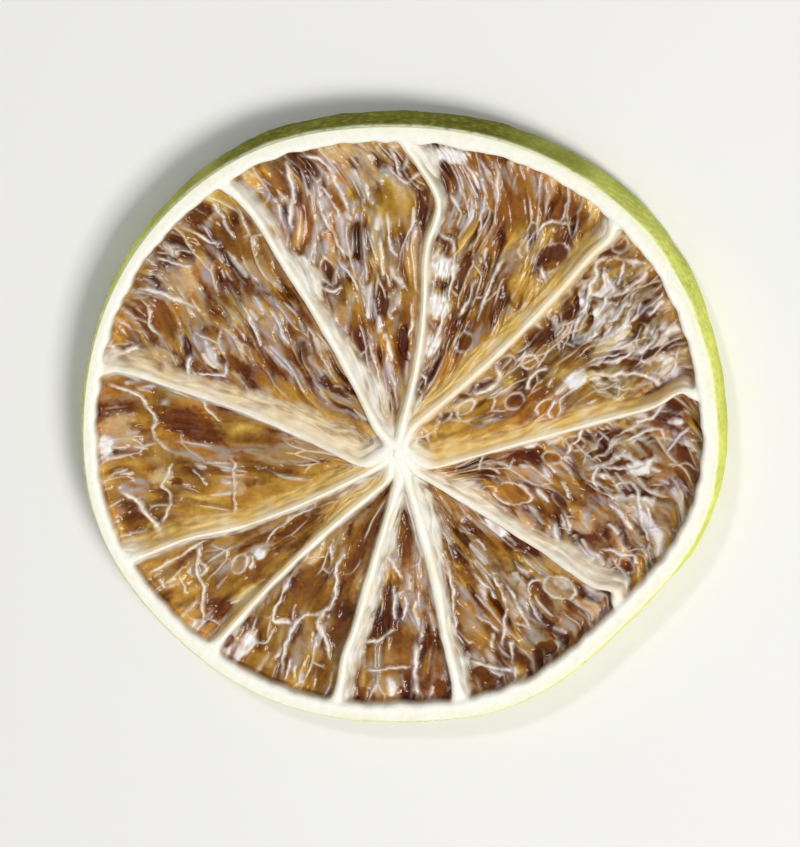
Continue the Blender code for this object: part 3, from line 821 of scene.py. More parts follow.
def thread_at(index, line, x, y, seed):
    """How much of a thread lies at each place, and how much of the painted shade beside it."""
    low, high = segment_angles(index)
    places = np.array(line.places) / 100
    curve = np.stack(flesh_place(index, places[:, 0], mix(low, high, places[:, 1]))[:2], axis=1)
    curve = smooth_line(curve, 5)
    amount, shade = np.zeros(x.shape), np.zeros(x.shape)
    low_x, low_y = curve.min(axis=0) - 0.6
    high_x, high_y = curve.max(axis=0) + 0.6
    near = (x > low_x) & (x < high_x) & (y > low_y) & (y < high_y)
    x, y = x[near], y[near]
    bend_x, bend_y = (
        0.12 * noise(x / 0.80, y / 0.80, seed + axis) + 0.05 * noise(x / 0.26, y / 0.26, seed + 4 + axis)
        for axis in (0, 1)
    )
    x, y = x + bend_x, y + bend_y
    nearest = np.full(x.shape, FAR_AWAY)
    along = np.zeros(x.shape)
    for step, (start, end) in enumerate(zip(curve, curve[1:])):
        run = end - start
        share = np.clip(((x - start[0]) * run[0] + (y - start[1]) * run[1]) / (run @ run), 0, 1)
        away = np.hypot(x - start[0] - share * run[0], y - start[1] - share * run[1])
        along = np.where(away < nearest, (step + share) / (len(curve) - 1), along)
        nearest = np.minimum(nearest, away)
    wide = 1.2 * line.wide * (1 + 0.5 * noise(x / 0.9, y / 0.9, seed + 2))
    bright = mix(0.55, 0.92, rise(0.06, 0.13, line.wide)) + 0.55 * noise(x / 0.9, y / 0.9, seed + 3)
    ends = rise(-0.04, 0.16, along) * rise(1.04, 0.84, along)
    strength = np.clip(bright * ends, 0, 1)
    amount[near] = strength * bell(nearest, wide)
    shade[near] = strength * bell(nearest, wide + 0.16)
    return amount, shade


def offset_from(index, share, across, turn, x, y):
    """Places as seen from a point of a segment: how far along its direction and how far to its left."""
    low, high = segment_angles(index)
    point_x, point_y = flesh_place(index, share, low + (high - low) * across)[:2]
    heading = math.atan2(point_y - CORE_PLACE[1], point_x - CORE_PLACE[0]) + math.radians(turn)
    right, up = x - point_x, y - point_y
    return (
        right * math.cos(heading) + up * math.sin(heading),
        up * math.cos(heading) - right * math.sin(heading),
    )


def fan_at(index, fan, x, y, seed):
    """How much of a fan lies at each place, and its ridges from -1 in the valleys to 1 on the crests."""
    along, beside = offset_from(index, fan.share, fan.across, fan.turn, x, y)
    reach = np.hypot(along, beside)
    turn = np.arctan2(beside, along)
    turn = turn + 0.14 * noise(x / 1.9, y / 1.9, seed) + 0.04 * noise(x / 0.5, y / 0.5, seed + 1)
    ridges = noise(turn / 0.11, reach / 3.6, seed + 2) + 0.4 * noise(turn / 0.055, reach / 1.8, seed + 3)
    opening = math.radians(fan.opening)
    there = rise(opening + 0.15, opening - 0.10, np.abs(turn))
    there = there * rise(fan.near - 0.9, fan.near + 0.6, reach) * rise(fan.far + 0.8, fan.far - 0.8, reach)
    return there, np.clip(2.2 * ridges, -1, 1)


class Film:
    """The pulp film on one face of a segment, smooth at first. Each method then lays one kind of thing on it.

    Its places are x and y in plan, a across the fibres and b along them, out from the core, edge in from the
    ring, and across from one wall to the next.
    """

    def __init__(self, index, x, y, share, angle, length, face):
        self.index = index
        self.segment = SEGMENTS[index]
        self.seed = 1000 * (index + 1) + (0 if face > 0 else 500)
        self.shown = index if face > 0 else (index + UNDERSIDE_SHIFT) % len(SEGMENTS)
        self.x, self.y, self.angle = x, y, angle
        self.steps = grid_steps(x, y)
        self.out = share * length
        self.edge = (1 - share) * length
        self.wall_near = np.minimum(*(wall_distance(index, side, share, x, y) for side in (-1, 1)))
        low, high = segment_angles(index)
        self.across = (angle - low) / (high - low)
        self.lay_fibres(high - low)

        tone = self.segment.tone - 0.045 + 0.34 * self.fibre_noise(1.9, 4.2, 51)
        self.tone = tone + 0.16 * self.fibre_noise(0.60, 2.4, 52) + 0.30 * self.fibre_noise(1.0, 2.1, 58)
        self.green = 0.30 + 0.70 * self.plan_noise(2.6, 68)
        # The milky film, together with the sheen of reflections that is painted on it
        self.haze = rise(0.20, 0.95, 0.8 * self.fibre_noise(1.7, 2.8, 53) + self.segment.haze)
        # Painted highlights, laid on the film as white
        self.white = np.zeros_like(self.tone)
        self.dense = self.segment.strokes - 0.05 + 0.95 * self.fibre_noise(1.8, 2.9, 54)
        self.grain = self.segment.grain * mix(0.5, 1.2, rise(-0.5, 0.6, self.fibre_noise(2.6, 4.0, 55)))
        self.bulge = 0.22 * self.fibre_noise(1.6, 3.6, 41) + 0.08 * self.fibre_noise(0.7, 1.5, 42)

    def lay_fibres(self, opening):
        """Sets a and b, which run straight out near the core, then turn by the segment's slant and waver."""
        sideways = (self.across - 0.5) * opening * (0.72 * self.out + 4.5)
        outward = self.out - FIBRE_PIVOT
        turn = math.radians(self.segment.slant) * rise(2.5, 8.0, self.out)
        self.a = sideways * np.cos(turn) - outward * np.sin(turn)
        self.b = outward * np.cos(turn) + sideways * np.sin(turn)
        self.a = self.a + 0.50 * self.fibre_noise(2.3, 4.8, 1) + 0.10 * self.fibre_noise(0.8, 1.3, 2)
        self.b = self.b + 0.90 * self.fibre_noise(2.6, 3.4, 3)

    def fibre_noise(self, across, along, number):
        """Noise whose bumps have the given width across the fibres and length along them."""
        return noise(self.a / across, self.b / along, self.seed + number)

    def plan_noise(self, size, number):
        return noise(self.x / size, self.y / size, self.seed + number)

    def add_marks(self):
        """Patches of another tone, grain and bulge, some of them with a pale rim."""
        self.rim = np.zeros_like(self.tone)
        uneven = 0.34 * self.fibre_noise(0.65, 1.8, 60) + 0.20 * self.fibre_noise(0.24, 0.9, 61)
        ragged = 0.20 * self.plan_noise(0.34, 66)
        # Breaks up the milkiness and the painted sheen of the marks
        milky_sheen = rise(-0.7, 0.3, self.fibre_noise(0.8, 1.8, 62))
        # Breaks up the painted highlights of the white marks
        highlight_breakup = 0.8 + 0.5 * self.fibre_noise(0.35, 0.6, 67)
        patchy = np.clip(0.75 + 0.75 * self.plan_noise(0.9, 64), 0, 1)
        for mark in MARKS[self.shown]:
            kind = KINDS[mark.kind]
            along, beside = offset_from(self.index, mark.share, mark.across, mark.turn, self.x, self.y)
            ring = np.hypot(along / mark.long, beside / mark.wide)
            ring = ring + (0.35 * uneven if kind.rim else uneven + ragged)
            inside = rise(1.40, 0.65, ring)
            self.tone = mix(self.tone, kind.tone + 0.50 * (self.tone - self.segment.tone), inside)
            self.haze = mix(self.haze, kind.haze * milky_sheen, inside)
            self.green = mix(self.green, kind.green, inside)
            self.white = mix(self.white, kind.white * highlight_breakup, inside)
            self.dense = mix(self.dense, self.dense * kind.strokes, inside)
            self.grain = mix(self.grain, self.grain * kind.grain, inside)
            self.bulge = mix(self.bulge, 0.4 * self.bulge + kind.bulge, inside)
            self.rim = mix(self.rim, 0, rise(1.0, 0.8, ring))
            if kind.rim:
                rim = bell(line_distance(ring, self.steps, 1), 0.05 + 0.06 * patchy)
                self.rim = np.maximum(self.rim, kind.rim * patchy * rim)

    def add_cells(self):
        """Round cells near the core and beside the walls, and the outlines of long juice sacs."""
        squeezed = 0.8 * self.b + 0.3 * self.fibre_noise(1.6, 1.6, 21)
        near, second, self.own = cells((self.a + 7) / 1.25, squeezed / 1.25, self.seed + 20)
        self.dome = 1 - (near / 0.62) ** 2
        beside_wall = rise(1.7, 0.6, self.wall_near) * rise(20, 14, self.out)
        zone = self.segment.bubbles * np.maximum(rise(8.5, 3.5, self.out), beside_wall)
        self.round_zone = rise(0.25, 0.6, zone + 0.3 * self.fibre_noise(1.9, 2.6, 5))
        web = np.clip(0.45 + 0.8 * self.fibre_noise(0.8, 0.9, 22), 0.1, 1) * self.round_zone
        self.bubble = web * bell(line_distance(second - near, self.steps), 0.06 + 0.07 * web)
        near, second = cells(self.a / 1.15, self.b / 3.9, self.seed + 10)[:2]
        sac = bell(line_distance(second - near, self.steps), 0.075)
        sac = sac * rise(0.0, 0.35, self.fibre_noise(2.4, 3.4, 33) + self.segment.cells - 0.30)
        self.sac = sac * (1 - self.round_zone)
        self.dense = self.dense * (1 - 0.85 * self.round_zone)

    def add_fans(self):
        """Pale ridges that fan out from a point, with painted shade in the valleys between them."""
        fanned, ridge = np.zeros_like(self.tone), np.zeros_like(self.tone)
        for fan in FANS:
            if fan.segment == self.shown:
                fanned, ridge = fan_at(self.index, fan, self.x, self.y, self.seed + 90)
        self.dense = self.dense * (1 - 0.6 * fanned)
        self.green = mix(self.green, 0.9, 0.8 * fanned)
        self.haze = mix(self.haze, 0.9, 0.5 * fanned)
        self.crown = np.maximum(ridge, 0) * fanned
        self.valley = np.maximum(-ridge, 0) * fanned
        self.tone = self.tone + 0.06 * self.crown - 0.26 * self.valley

    def add_strokes(self):
        """Short fibres in two sizes, some pale and the rest amber, and the teeth that hang on the ring."""
        a, b, seed, dense = self.a, self.b, self.seed, self.dense
        long_stroke, long_own = strokes(a, b, (0.95, 2.5), 2.1, 0.23, seed + 100, dense)
        short_stroke, short_own = strokes(a + 31, b + 17, (0.52, 1.3), 1.1, 0.11, seed + 120, 0.55 * dense)
        near_ring = rise(3.2, 0.6, self.edge)
        tooth_zone = 0.50 * near_ring + 0.3 * dense * near_ring
        round_ring = self.angle * FLESH_RADIUS
        tooth = strokes(round_ring, self.edge, (0.85, 3.0), 2.4, 0.11, seed + 140, tooth_zone)[0]
        pale_long = rise(0.20, 0.62, long_own + 0.25 * self.fibre_noise(1.2, 1.6, 56))
        pale_short = rise(0.35, 0.75, short_own)
        streak = 0.75 + 0.4 * self.fibre_noise(0.11, 0.9, 57)
        broken = np.clip(0.85 + 0.8 * self.plan_noise(0.9, 69), 0, 1)
        self.thread = np.maximum.reduce([
            0.95 * long_stroke * pale_long * streak,
            0.75 * short_stroke * pale_short,
            0.65 * tooth * streak,
            0.95 * self.crown**0.7 * broken * streak,
            0.65 * self.bubble,
            0.60 * self.sac,
            self.rim,
        ])
        # Painted highlights: glints on a few strokes and on parts of the fans' crests
        self.white = np.maximum.reduce([
            self.white,
            0.70 * long_stroke * rise(0.84, 0.90, long_own) * rise(0.2, 0.6, self.haze + 0.3),
            0.65 * short_stroke * rise(0.88, 0.94, short_own) * rise(0.0, 0.6, self.haze),
            0.9 * self.crown * rise(0.10, 0.55, self.plan_noise(0.8, 70)),
        ])
        raised = 0.15 * long_stroke**0.5 + 0.07 * short_stroke**0.5 + 0.12 * tooth**0.5
        raised = raised + 0.10 * self.bubble + 0.10 * self.sac**0.5 + 0.12 * self.rim
        self.raised = raised + 0.16 * self.crown - 0.10 * self.valley
        self.tone = self.tone + 0.07 * long_stroke * (1 - pale_long) + 0.04 * short_stroke * (1 - pale_short)

    def add_threads(self):
        """Long pale threads, with a line of painted shade on either side of each."""
        for number, line in enumerate(THREADS):
            if line.segment == self.shown:
                strand, shade = thread_at(self.index, line, self.x, self.y, self.seed + 200 + 10 * number)
                self.thread = np.maximum(self.thread * (1 - 0.7 * shade), strand)
                self.tone = self.tone - 0.14 * (shade - strand)
                self.raised = np.maximum(self.raised * (1 - 0.5 * shade), 0.17 * strand**0.7)

    def add_wrinkles(self):
        """Fine wrinkles along the fibres and pockets with painted shade between them, which complete the
        film's height.
        """
        wrinkle = self.fibre_noise(0.34, 1.5, 40) + 0.9 * (1 - 3 * np.abs(self.fibre_noise(0.62, 2.4, 45)))
        crumple = self.fibre_noise(0.20, 0.42, 43)
        pocket = rise(0.10, 0.65, self.fibre_noise(0.75, 2.6, 44)) * np.clip(self.grain, 0, 1.3)
        pocket = pocket * (1 - 0.6 * self.round_zone)
        sink = (self.own - 0.5) * rise(0, 0.5, self.dome) * self.round_zone
        self.height = (
            self.bulge
            + self.raised
            + 0.060 * self.grain * wrinkle
            + 0.022 * self.grain * crumple
            + 0.20 * sink
            - 0.24 * pocket * (1 - self.thread)
            - 0.12 * np.sin(np.pi * np.clip(self.across, 0, 1))
        )
        tone = self.tone + 0.40 * (self.own - 0.5) * self.round_zone
        # Painted light on the wrinkles' ridges, and painted shade in their troughs and in the pockets
        tone = tone + self.grain * (0.08 * wrinkle + 0.07 * crumple) - 0.24 * pocket
        self.tone = np.clip(tone, 0, 1)
        self.haze = self.haze * rise(-0.6, 0.4, self.fibre_noise(0.45, 1.4, 63)) * (1 - self.round_zone)
        # The painted shade of the pockets, which the flesh material darkens by
        self.hollow = np.clip(pocket, 0, 1)
        self.green = np.clip(self.green, 0, 1)


def make_film(*places):
    """The finished film of one face of a segment."""
    film = Film(*places)
    film.add_marks()
    film.add_cells()
    film.add_fans()
    film.add_strokes()
    film.add_threads()
    film.add_wrinkles()
    return film


class FleshFace:
    """One face of a segment, from the core over the flesh and the pith: places in plan, heights and looks.

    The share runs from 0 at the core to 1 at the ring, the pith share from there to the skin, and face is 1
    for the top face and -1 for the underside.
    """

    def __init__(self, index, share, pith_share, face):
        self.index = index
        self.face = face
        self.angle = column_angles(index, share)
        self.share = share + 0 * self.angle
        self.flesh_share = np.minimum(self.share, 1.0)
        x, y, self.length = flesh_place(index, self.flesh_share, self.angle)
        self.out = self.flesh_share * self.length
        self.outward = pith_share * pith_width(self.angle)
        self.x = x + self.outward * np.cos(self.angle)
        self.y = y + self.outward * np.sin(self.angle)
        self.away_left = wall_distance(index, -1, self.flesh_share, x, y) - half_width(index, self.share)
        self.away_right = wall_distance(index, 1, self.flesh_share, x, y) - half_width(index + 1, self.share)
        self.film = make_film(index, self.x, self.y, self.flesh_share, self.angle, self.length, face)
        self.measure()
        self.lean_membranes()
        self.set_height()
        self.set_looks()

    def plan_noise(self, size, seed):
        return noise(self.x / size, self.y / size, seed)

    def measure(self):
        """How far each place is from what stands up: the walls, the ring and the core."""
        ragged = 0.030 * self.plan_noise(0.9, 301) + 0.016 * self.plan_noise(0.30, 302)
        round_ring = self.angle * FLESH_RADIUS
        scallop = 0.12 * noise(round_ring / 1.1, 0 * self.angle + 0.5 * self.face, 303) + 0.03
        self.away_ring = (1 - self.share) * self.length - self.outward - scallop
        self.walls = soft_least(self.away_left, self.away_right, 0.22)
        away = soft_least(self.walls, self.away_ring, 0.55)
        self.away = soft_least(away, self.out - CORE_RADIUS, 0.45) + ragged

    def lean_membranes(self):
        """Membrane that leans on the walls: over is the share of the way down it from the wall's foot."""
        lean_left, lean_right = (apron_width(self.index, side, self.share) for side in (-1, 1))
        edge = 1 + 0.34 * self.plan_noise(2.2, 304) + 0.12 * self.plan_noise(0.60, 314)
        over_left = np.maximum(self.away_left, 0) / np.maximum(lean_left * edge, 0.05)
        over_right = np.maximum(self.away_right, 0) / np.maximum(lean_right * edge, 0.05)
        self.over = np.minimum(over_left, over_right)
        self.leaning = rise(1.15, 0.55, self.over)
        self.wide_lean = rise(0.50, 1.0, np.where(over_left < over_right, lean_left, lean_right))
        gold_left, gold_right = (skirt_of(self.index, side).gold for side in (-1, 1))
        self.golden = mix(gold_right, gold_left, rise(-0.4, 0.4, self.away_right - self.away_left))

        # Strands and gaps that run along the membrane
        drift = self.walls + 0.24 * noise(self.out / 2.4, self.walls / 1.2 + self.index, 320)
        strand = np.abs(noise(drift / 0.46, self.out / 3.4 + self.index, 321))
        self.strand = np.clip(1 - 3.2 * strand, 0, 1)
        gap = rise(0.02, 0.40, noise(drift / 0.36, self.out / 2.0 + self.index, 322))
        self.gap = gap * rise(0.02, 0.30, self.walls)

    def set_height(self):
        """The crests of walls, ring and core, and the film and membranes between them."""
        face, film = self.face, self.film
        middle = film_middle(self.flesh_share, self.x, self.y)
        lift = 0.30 * rise(0.86, 1.0, self.share)
        low = middle + face * (0.5 * FILM_THICKNESS + film.height + lift)
        crest = crest_height(self.share, self.angle, middle, face)
        rim = rim_top(self.angle) if face > 0 else rim_foot(self.angle)
        crest = mix(crest, rim, rise(0.15, -0.35, self.away_ring))
        rounded = 0.09 * bell(np.minimum(self.away, 0), 0.12)
        lumps = 0.016 * self.plan_noise(0.6, 306) + 0.008 * self.plan_noise(0.22, 307)
        crest = crest + face * (lumps - rounded)
        foot = middle + face * (0.5 * FILM_THICKNESS + lift) + face * (0.05 + 0.5 * film.height)
        sheet = mix(crest - face * 0.10, foot, rise(-0.2, 1.1, self.over))
        sheet = sheet + face * (0.05 * self.strand - 0.06 * self.gap) * rise(0.0, 0.2, self.over)
        low = mix(low, sheet, self.leaning)
        height = mix(crest, low, rise(-0.05, 0.22, self.away))
        edges = np.zeros_like(height)
        edges[:, [0, -1]] = 1
        self.height = mix(height, crest, edges)

    def set_looks(self):
        """The numbers that the flesh material reads, by name."""
        film, share, over, golden, leaning = self.film, self.share, self.over, self.golden, self.leaning
        streak = 0.6 * noise(self.walls / 0.14, self.out / 1.0 + self.index, 308)
        streak = streak + 0.6 * self.plan_noise(0.9, 317)
        hem = bell(over - 0.86, 0.10) * self.wide_lean * (0.6 + 0.8 * self.plan_noise(1.2, 315))
        sheet = 0.94 + 0.08 * golden - (0.70 - 0.12 * self.wide_lean) * over + (0.12 + 0.40 * over) * streak
        sheet = sheet + 0.34 * self.strand * rise(0.05, 0.35, over) - (0.46 - 0.16 * golden) * self.gap
        sheet = (0.85 + 0.12 * golden) * leaning * np.clip(sheet, 0, 1) + 0.22 * hem
        wall = rise(0.14, -0.04, self.away)
        to_core = rise(0.03, 0.14, share)
        gold = to_core * golden * rise(1.0, 0.90, share)
        gold = gold * (0.9 + 0.4 * noise(self.out / 1.7, 0 * self.out, 312))
        gold = gold * mix(0.62, 1.0, rise(-0.10, 0.35, self.walls))
        gold = np.maximum(gold, to_core * np.clip(0.04 + 0.35 * self.plan_noise(1.5, 319), 0, 0.28))
        beside_wall = rise(1.1, 0.15, self.walls) * (1 - golden)
        beside_wall = beside_wall * np.clip(0.7 + 0.8 * self.plan_noise(1.3, 318), 0, 1)
        fringe = rise(1.3, 0.1, self.away) * golden * to_core
        film_tone = np.clip(film.tone + 0.30 * fringe, 0, 1)
        sheet_tone = 0.56 + 0.22 * golden - 0.10 * over + 0.22 * streak
        # The milky film and its painted sheen, on the pulp, beside plain walls and on the membranes
        film_haze_and_sheen = np.maximum(film.haze * (1 - 0.8 * fringe), 0.7 * beside_wall)
        sheet_haze_and_sheen = (1 - golden) * rise(-0.9, 0.3, self.plan_noise(1.6, 316))
        lime = rise(0.30, 1.0, self.outward / pith_width(self.angle))
        self.looks = {
            "wall": np.clip(np.maximum(wall, sheet), 0, 1),
            "gold": np.clip(gold, 0, 1) * rise(0.0, 0.3, (1 - share) * self.length),
            "lime": lime * (0.75 + 0.5 * self.plan_noise(1.4, 313)),
            "thread": film.thread * rise(0.0, 0.20, self.away) * (1 - 0.7 * leaning),
            "tone": mix(film_tone, sheet_tone, 0.8 * leaning),
            "green": film.green * (1 - leaning) * (1 - fringe) + 0.5 * leaning * (1 - golden),
            "haze": mix(film_haze_and_sheen, sheet_haze_and_sheen, leaning),
            # Painted highlights
            "white": film.white * rise(0.0, 0.2, self.away) * (1 - leaning),
            # Painted shade in the pockets
            "hollow": film.hollow * (1 - leaning) * (1 - fringe),
        }


def film_middle(share, x, y):
    """The height of the middle of the pulp film."""
    return FILM_MIDDLE - 0.18 * np.sin(np.pi * share) + 0.12 * noise(x / 9, y / 9, 305)


def crest_height(share, angle, middle, face):
    """The height of a wall's crest: over the film halfway out, and level with core and ring at its ends."""
    rim = rim_top(angle) - WALL_TOP_DROP if face > 0 else rim_foot(angle) + WALL_FOOT_LIFT
    core = CORE_TOP if face > 0 else CORE_FOOT
    crest = middle + face * (0.5 * FILM_THICKNESS + WALL_RELIEF)
    crest = mix(crest, core, rise(0.35, 0.05, share))
    return mix(crest, rim, rise(0.62, 1.0, share))


def row_shares(rows):
    """The rows of a face, as shares of the way out and as shares of the pith."""
    flesh = np.concatenate([
        np.linspace(FIRST_SHARE, rows.edge_share, rows.flesh),
        np.linspace(rows.edge_share, 1.0, rows.edge + 1)[1:],
    ])
    pith = np.linspace(0, 1, rows.pith + 1)[1:]
    return np.concatenate([flesh, np.ones(rows.pith)]), np.concatenate([0 * flesh, pith])


def grid_quads(rows, columns):
    """Faces between the points of a grid that are numbered row by row."""
    row, column = np.meshgrid(np.arange(rows - 1), np.arange(columns - 1), indexing="ij")
    corner = (row * columns + column).ravel()
    return np.stack([corner, corner + columns, corner + columns + 1, corner + 1], axis=1)


def stitch(upper, lower, upper_key, lower_key):
    """Triangles between two chains of points, which keep step by their keys."""
    triangles = []
    i = j = 0
    while i < len(upper) - 1 or j < len(lower) - 1:
        upper_next = upper_key[i + 1] if i < len(upper) - 1 else math.inf
        lower_next = lower_key[j + 1] if j < len(lower) - 1 else math.inf
        if upper_next <= lower_next:
            triangles.append((upper[i], lower[j], upper[i + 1]))
            i += 1
        else:
            triangles.append((upper[i], lower[j], lower[j + 1]))
            j += 1
    return triangles


def new_mesh(name, points, quads, triangles):
    """A mesh from arrays of points, quads and triangles."""
    mesh = bpy.data.meshes.new(name)
    triangles = np.asarray(triangles, dtype=np.int64).reshape(-1, 3)
    corners = np.concatenate([quads.ravel(), triangles.ravel()])
    starts = np.concatenate([4 * np.arange(len(quads)), 4 * len(quads) + 3 * np.arange(len(triangles))])
    mesh.vertices.add(len(points))
    mesh.vertices.foreach_set("co", np.asarray(points, dtype=np.float32).ravel())
    mesh.loops.add(len(corners))
    mesh.loops.foreach_set("vertex_index", corners.astype(np.int32))
    mesh.polygons.add(len(starts))
    mesh.polygons.foreach_set("loop_start", starts.astype(np.int32))
    mesh.update(calc_edges=True)
    mesh.validate()
    mesh.shade_smooth()
    return mesh


def add_number(mesh, name, values):
    """Keeps a number for each point under a name that the materials read."""
    kept = mesh.attributes.new(name, "FLOAT", "POINT")
    kept.data.foreach_set("value", np.asarray(values, dtype=np.float32).ravel())


def put_in_scene(mesh):
    piece = bpy.data.objects.new(mesh.name, mesh)
    bpy.context.scene.collection.objects.link(piece)
    return piece


def claim(piece):
    """Ties a finished piece to the frame."""
    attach(piece, "root")
    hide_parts(NODE)


def level_ends(part):
    """Sets a face's first and last columns to the crest that the segment shares with its neighbour."""
    share = part.flesh_share[:, 0]
    for column, wall_index in ((0, part.index), (-1, part.index + 1)):
        middle = film_middle(share, part.x[:, column], part.y[:, column])
        crest = crest_height(share, wall_angle(wall_index), middle, part.face)
        part.height[:, column] = mix(crest, part.height[:, column], rise(0.93, 0.97, share))


def make_segment(index):
    """The closed mesh of one segment with its looks as attributes."""
    top_share, top_pith = row_shares(TOP_ROWS)
    under_share, under_pith = row_shares(UNDER_ROWS)
    top = FleshFace(index, top_share[:, None], top_pith[:, None], 1)
    under = FleshFace(index, under_share[:, None], under_pith[:, None], -1)
    level_ends(top)
    level_ends(under)

    def joined(above, beside, below):
        """Rows of the top face from the core outwards, of the side, and of the underside back to the core."""
        return np.concatenate([above, beside, below[::-1]])

    drop = np.linspace(0, 1, SIDE_ROWS + 2)[1:-1, None]
    x = joined(top.x, np.repeat(top.x[-1:], SIDE_ROWS, axis=0), under.x)
    y = joined(top.y, np.repeat(top.y[-1:], SIDE_ROWS, axis=0), under.y)
    z = joined(top.height, mix(top.height[-1:], under.height[-1:], drop), under.height)
    rows, columns = x.shape

    first, last = np.arange(columns - 1), (rows - 1) * columns + np.arange(columns - 1)
    inner = np.stack([first, first + 1, last + 1, last], axis=1)
    quads = np.concatenate([grid_quads(rows, columns), inner])
    outside = len(top_share) + SIDE_ROWS
    upper = np.arange(outside)
    lower = np.arange(rows - 1, outside - 1, -1)
    upper_key = np.concatenate([top_share + top_pith, np.full(SIDE_ROWS, PAST_PITH)])
    lower_key = under_share + under_pith
    sides = []
    for column, turned in ((0, False), (columns - 1, True)):
        for a, b, c in stitch(upper * columns + column, lower * columns + column, upper_key, lower_key):
            sides.append((c, b, a) if turned else (a, b, c))

    mesh = new_mesh(f"segment_{index + 1:02d}", to_frame(x, y, z).reshape(-1, 3), quads, sides)
    for key, values in top.looks.items():
        side = np.zeros((SIDE_ROWS, columns)) + (key == "wall")
        add_number(mesh, key, joined(values, side, under.looks[key]))
    add_bake_map(mesh, top, under)
    sharpen_rims(mesh, columns)
    return mesh


def add_bake_map(mesh, top, under):
    """A map that lays the top face and the underside next to each other, each as seen in plan."""
    width = max(np.ptp(top.x), np.ptp(under.x))
    height = max(np.ptp(top.y), np.ptp(under.y))
    if width >= height:
        scale = min(1 / width, 0.5 / height) * MAP_FILL
        step_u, step_v = 0, 0.5
    else:
        scale = min(0.5 / width, 1 / height) * MAP_FILL
        step_u, step_v = 0.5, 0

    def laid(above, below, step):
        above = (above - above.min()) * scale + MAP_MARGIN
        below = (below - below.min()) * scale + MAP_MARGIN + step
        return np.concatenate([above, np.repeat(above[-1:], SIDE_ROWS, axis=0), below[::-1]]).ravel()

    u, v = laid(top.x, under.x, step_u), laid(top.y, under.y, step_v)
    vertex = np.zeros(len(mesh.loops), dtype=np.int32)
    mesh.loops.foreach_get("vertex_index", vertex)
    layer = mesh.uv_layers.new(name="OFBake")
    layer.uv.foreach_set("vector", np.stack([u[vertex], v[vertex]], axis=1).astype(np.float32).ravel())


def sharpen_rims(mesh, columns):
    """Keeps the hidden sides of a segment from bending the light on its faces."""
    ends = np.zeros(len(mesh.edges) * 2, dtype=np.int32)
    mesh.edges.foreach_get("vertices", ends)
    a, b = ends.reshape(-1, 2).T
    sharp = np.zeros(len(mesh.edges), dtype=bool)
    for column in (0, columns - 1):
        sharp |= (a % columns == column) & (b % columns == column) & (np.abs(a - b) == columns)
    mark = mesh.attributes.new("sharp_edge", "BOOLEAN", "EDGE")
    mark.data.foreach_set("value", sharp)


class Wire:
    """A node's output, which takes part in Python expressions."""

    def __init__(self, tree, socket):
        self.tree = tree
        self.socket = socket

    def maths(self, operation, first, second=None):
        values = {0: first} if second is None else {0: first, 1: second}
        return add_node(self.tree, "ShaderNodeMath", {"operation": operation}, values)

    def __add__(self, other):
        return self.maths("ADD", self, other)

    __radd__ = __add__

    def __sub__(self, other):
        return self.maths("SUBTRACT", self, other)

    def __rsub__(self, other):
        return self.maths("SUBTRACT", other, self)

    def __mul__(self, other):
        return self.maths("MULTIPLY", self, other)

    def clipped(self):
        return add_node(self.tree, "ShaderNodeClamp", {}, {"Value": self})


def add_node(tree, kind, settings, values, output=0):
    """Adds one node, its settings first, then the values or links of its sockets, and returns an output."""
    made = tree.nodes.new(kind)
    for name, value in settings.items():
        if name == "stops":
            set_stops(made.color_ramp, value)
        else:
            setattr(made, name, value)
    for name, value in values.items():
        feed(tree, made.inputs[name], value)
    return Wire(tree, made.outputs[output])


def feed(tree, socket, value):
    """Links a socket to a wire, or sets it to a plain value."""
    if isinstance(value, Wire):
        tree.links.new(value.socket, socket)
    else:
        socket.default_value = value


def set_stops(ramp, stops):
    while len(ramp.elements) < len(stops):
        ramp.elements.new(0.5)
    for element, (place, colour) in zip(ramp.elements, stops):
        element.position = place
        element.color = colour


def rgb(*screen):
    """A colour for a shader from the 0 to 255 values that a screen shows."""
    shares = (value / 255 for value in screen)
    return tuple(c / 12.92 if c <= 0.04045 else ((c + 0.055) / 1.055) ** 2.4 for c in shares) + (1.0,)


def mix_colours(tree, factor, first, second, blend="MIX"):
    settings = {"data_type": "RGBA", "blend_type": blend, "clamp_factor": True}
    return add_node(tree, "ShaderNodeMix", settings, {0: factor, 6: first, 7: second}, output=2)


def numbers(tree, *names):
    """The numbers that a mesh holds under these names."""
    return [add_node(tree, "ShaderNodeAttribute", {"attribute_name": name}, {}, output=2) for name in names]


def speckle(tree, place, scale, detail=2.0, roughness=0.5):
    """Noise around 0.5 at the given scale."""
    values = {"Vector": place, "Scale": scale, "Detail": detail, "Roughness": roughness}
    return add_node(tree, "ShaderNodeTexNoise", {}, values)


def steep(tree, value, low, high):
    """0 up to low and 1 from high on."""
    values = {"Value": value, "From Min": low, "From Max": high}
    return add_node(tree, "ShaderNodeMapRange", {"interpolation_type": "SMOOTHSTEP"}, values)


def new_material(name):
    material = bpy.data.materials.new(name)
    material.use_nodes = True
    return material, material.node_tree, material.node_tree.nodes["Principled BSDF"]


def place_on_piece(tree):
    return add_node(tree, "ShaderNodeTexCoord", {}, {}, output=3)


def connect(tree, shader, **sockets):
    """Sets or links the shader's sockets, with spaces in their names for underscores."""
    for name, value in sockets.items():
        feed(tree, shader.inputs[name.replace("_", " ")], value)


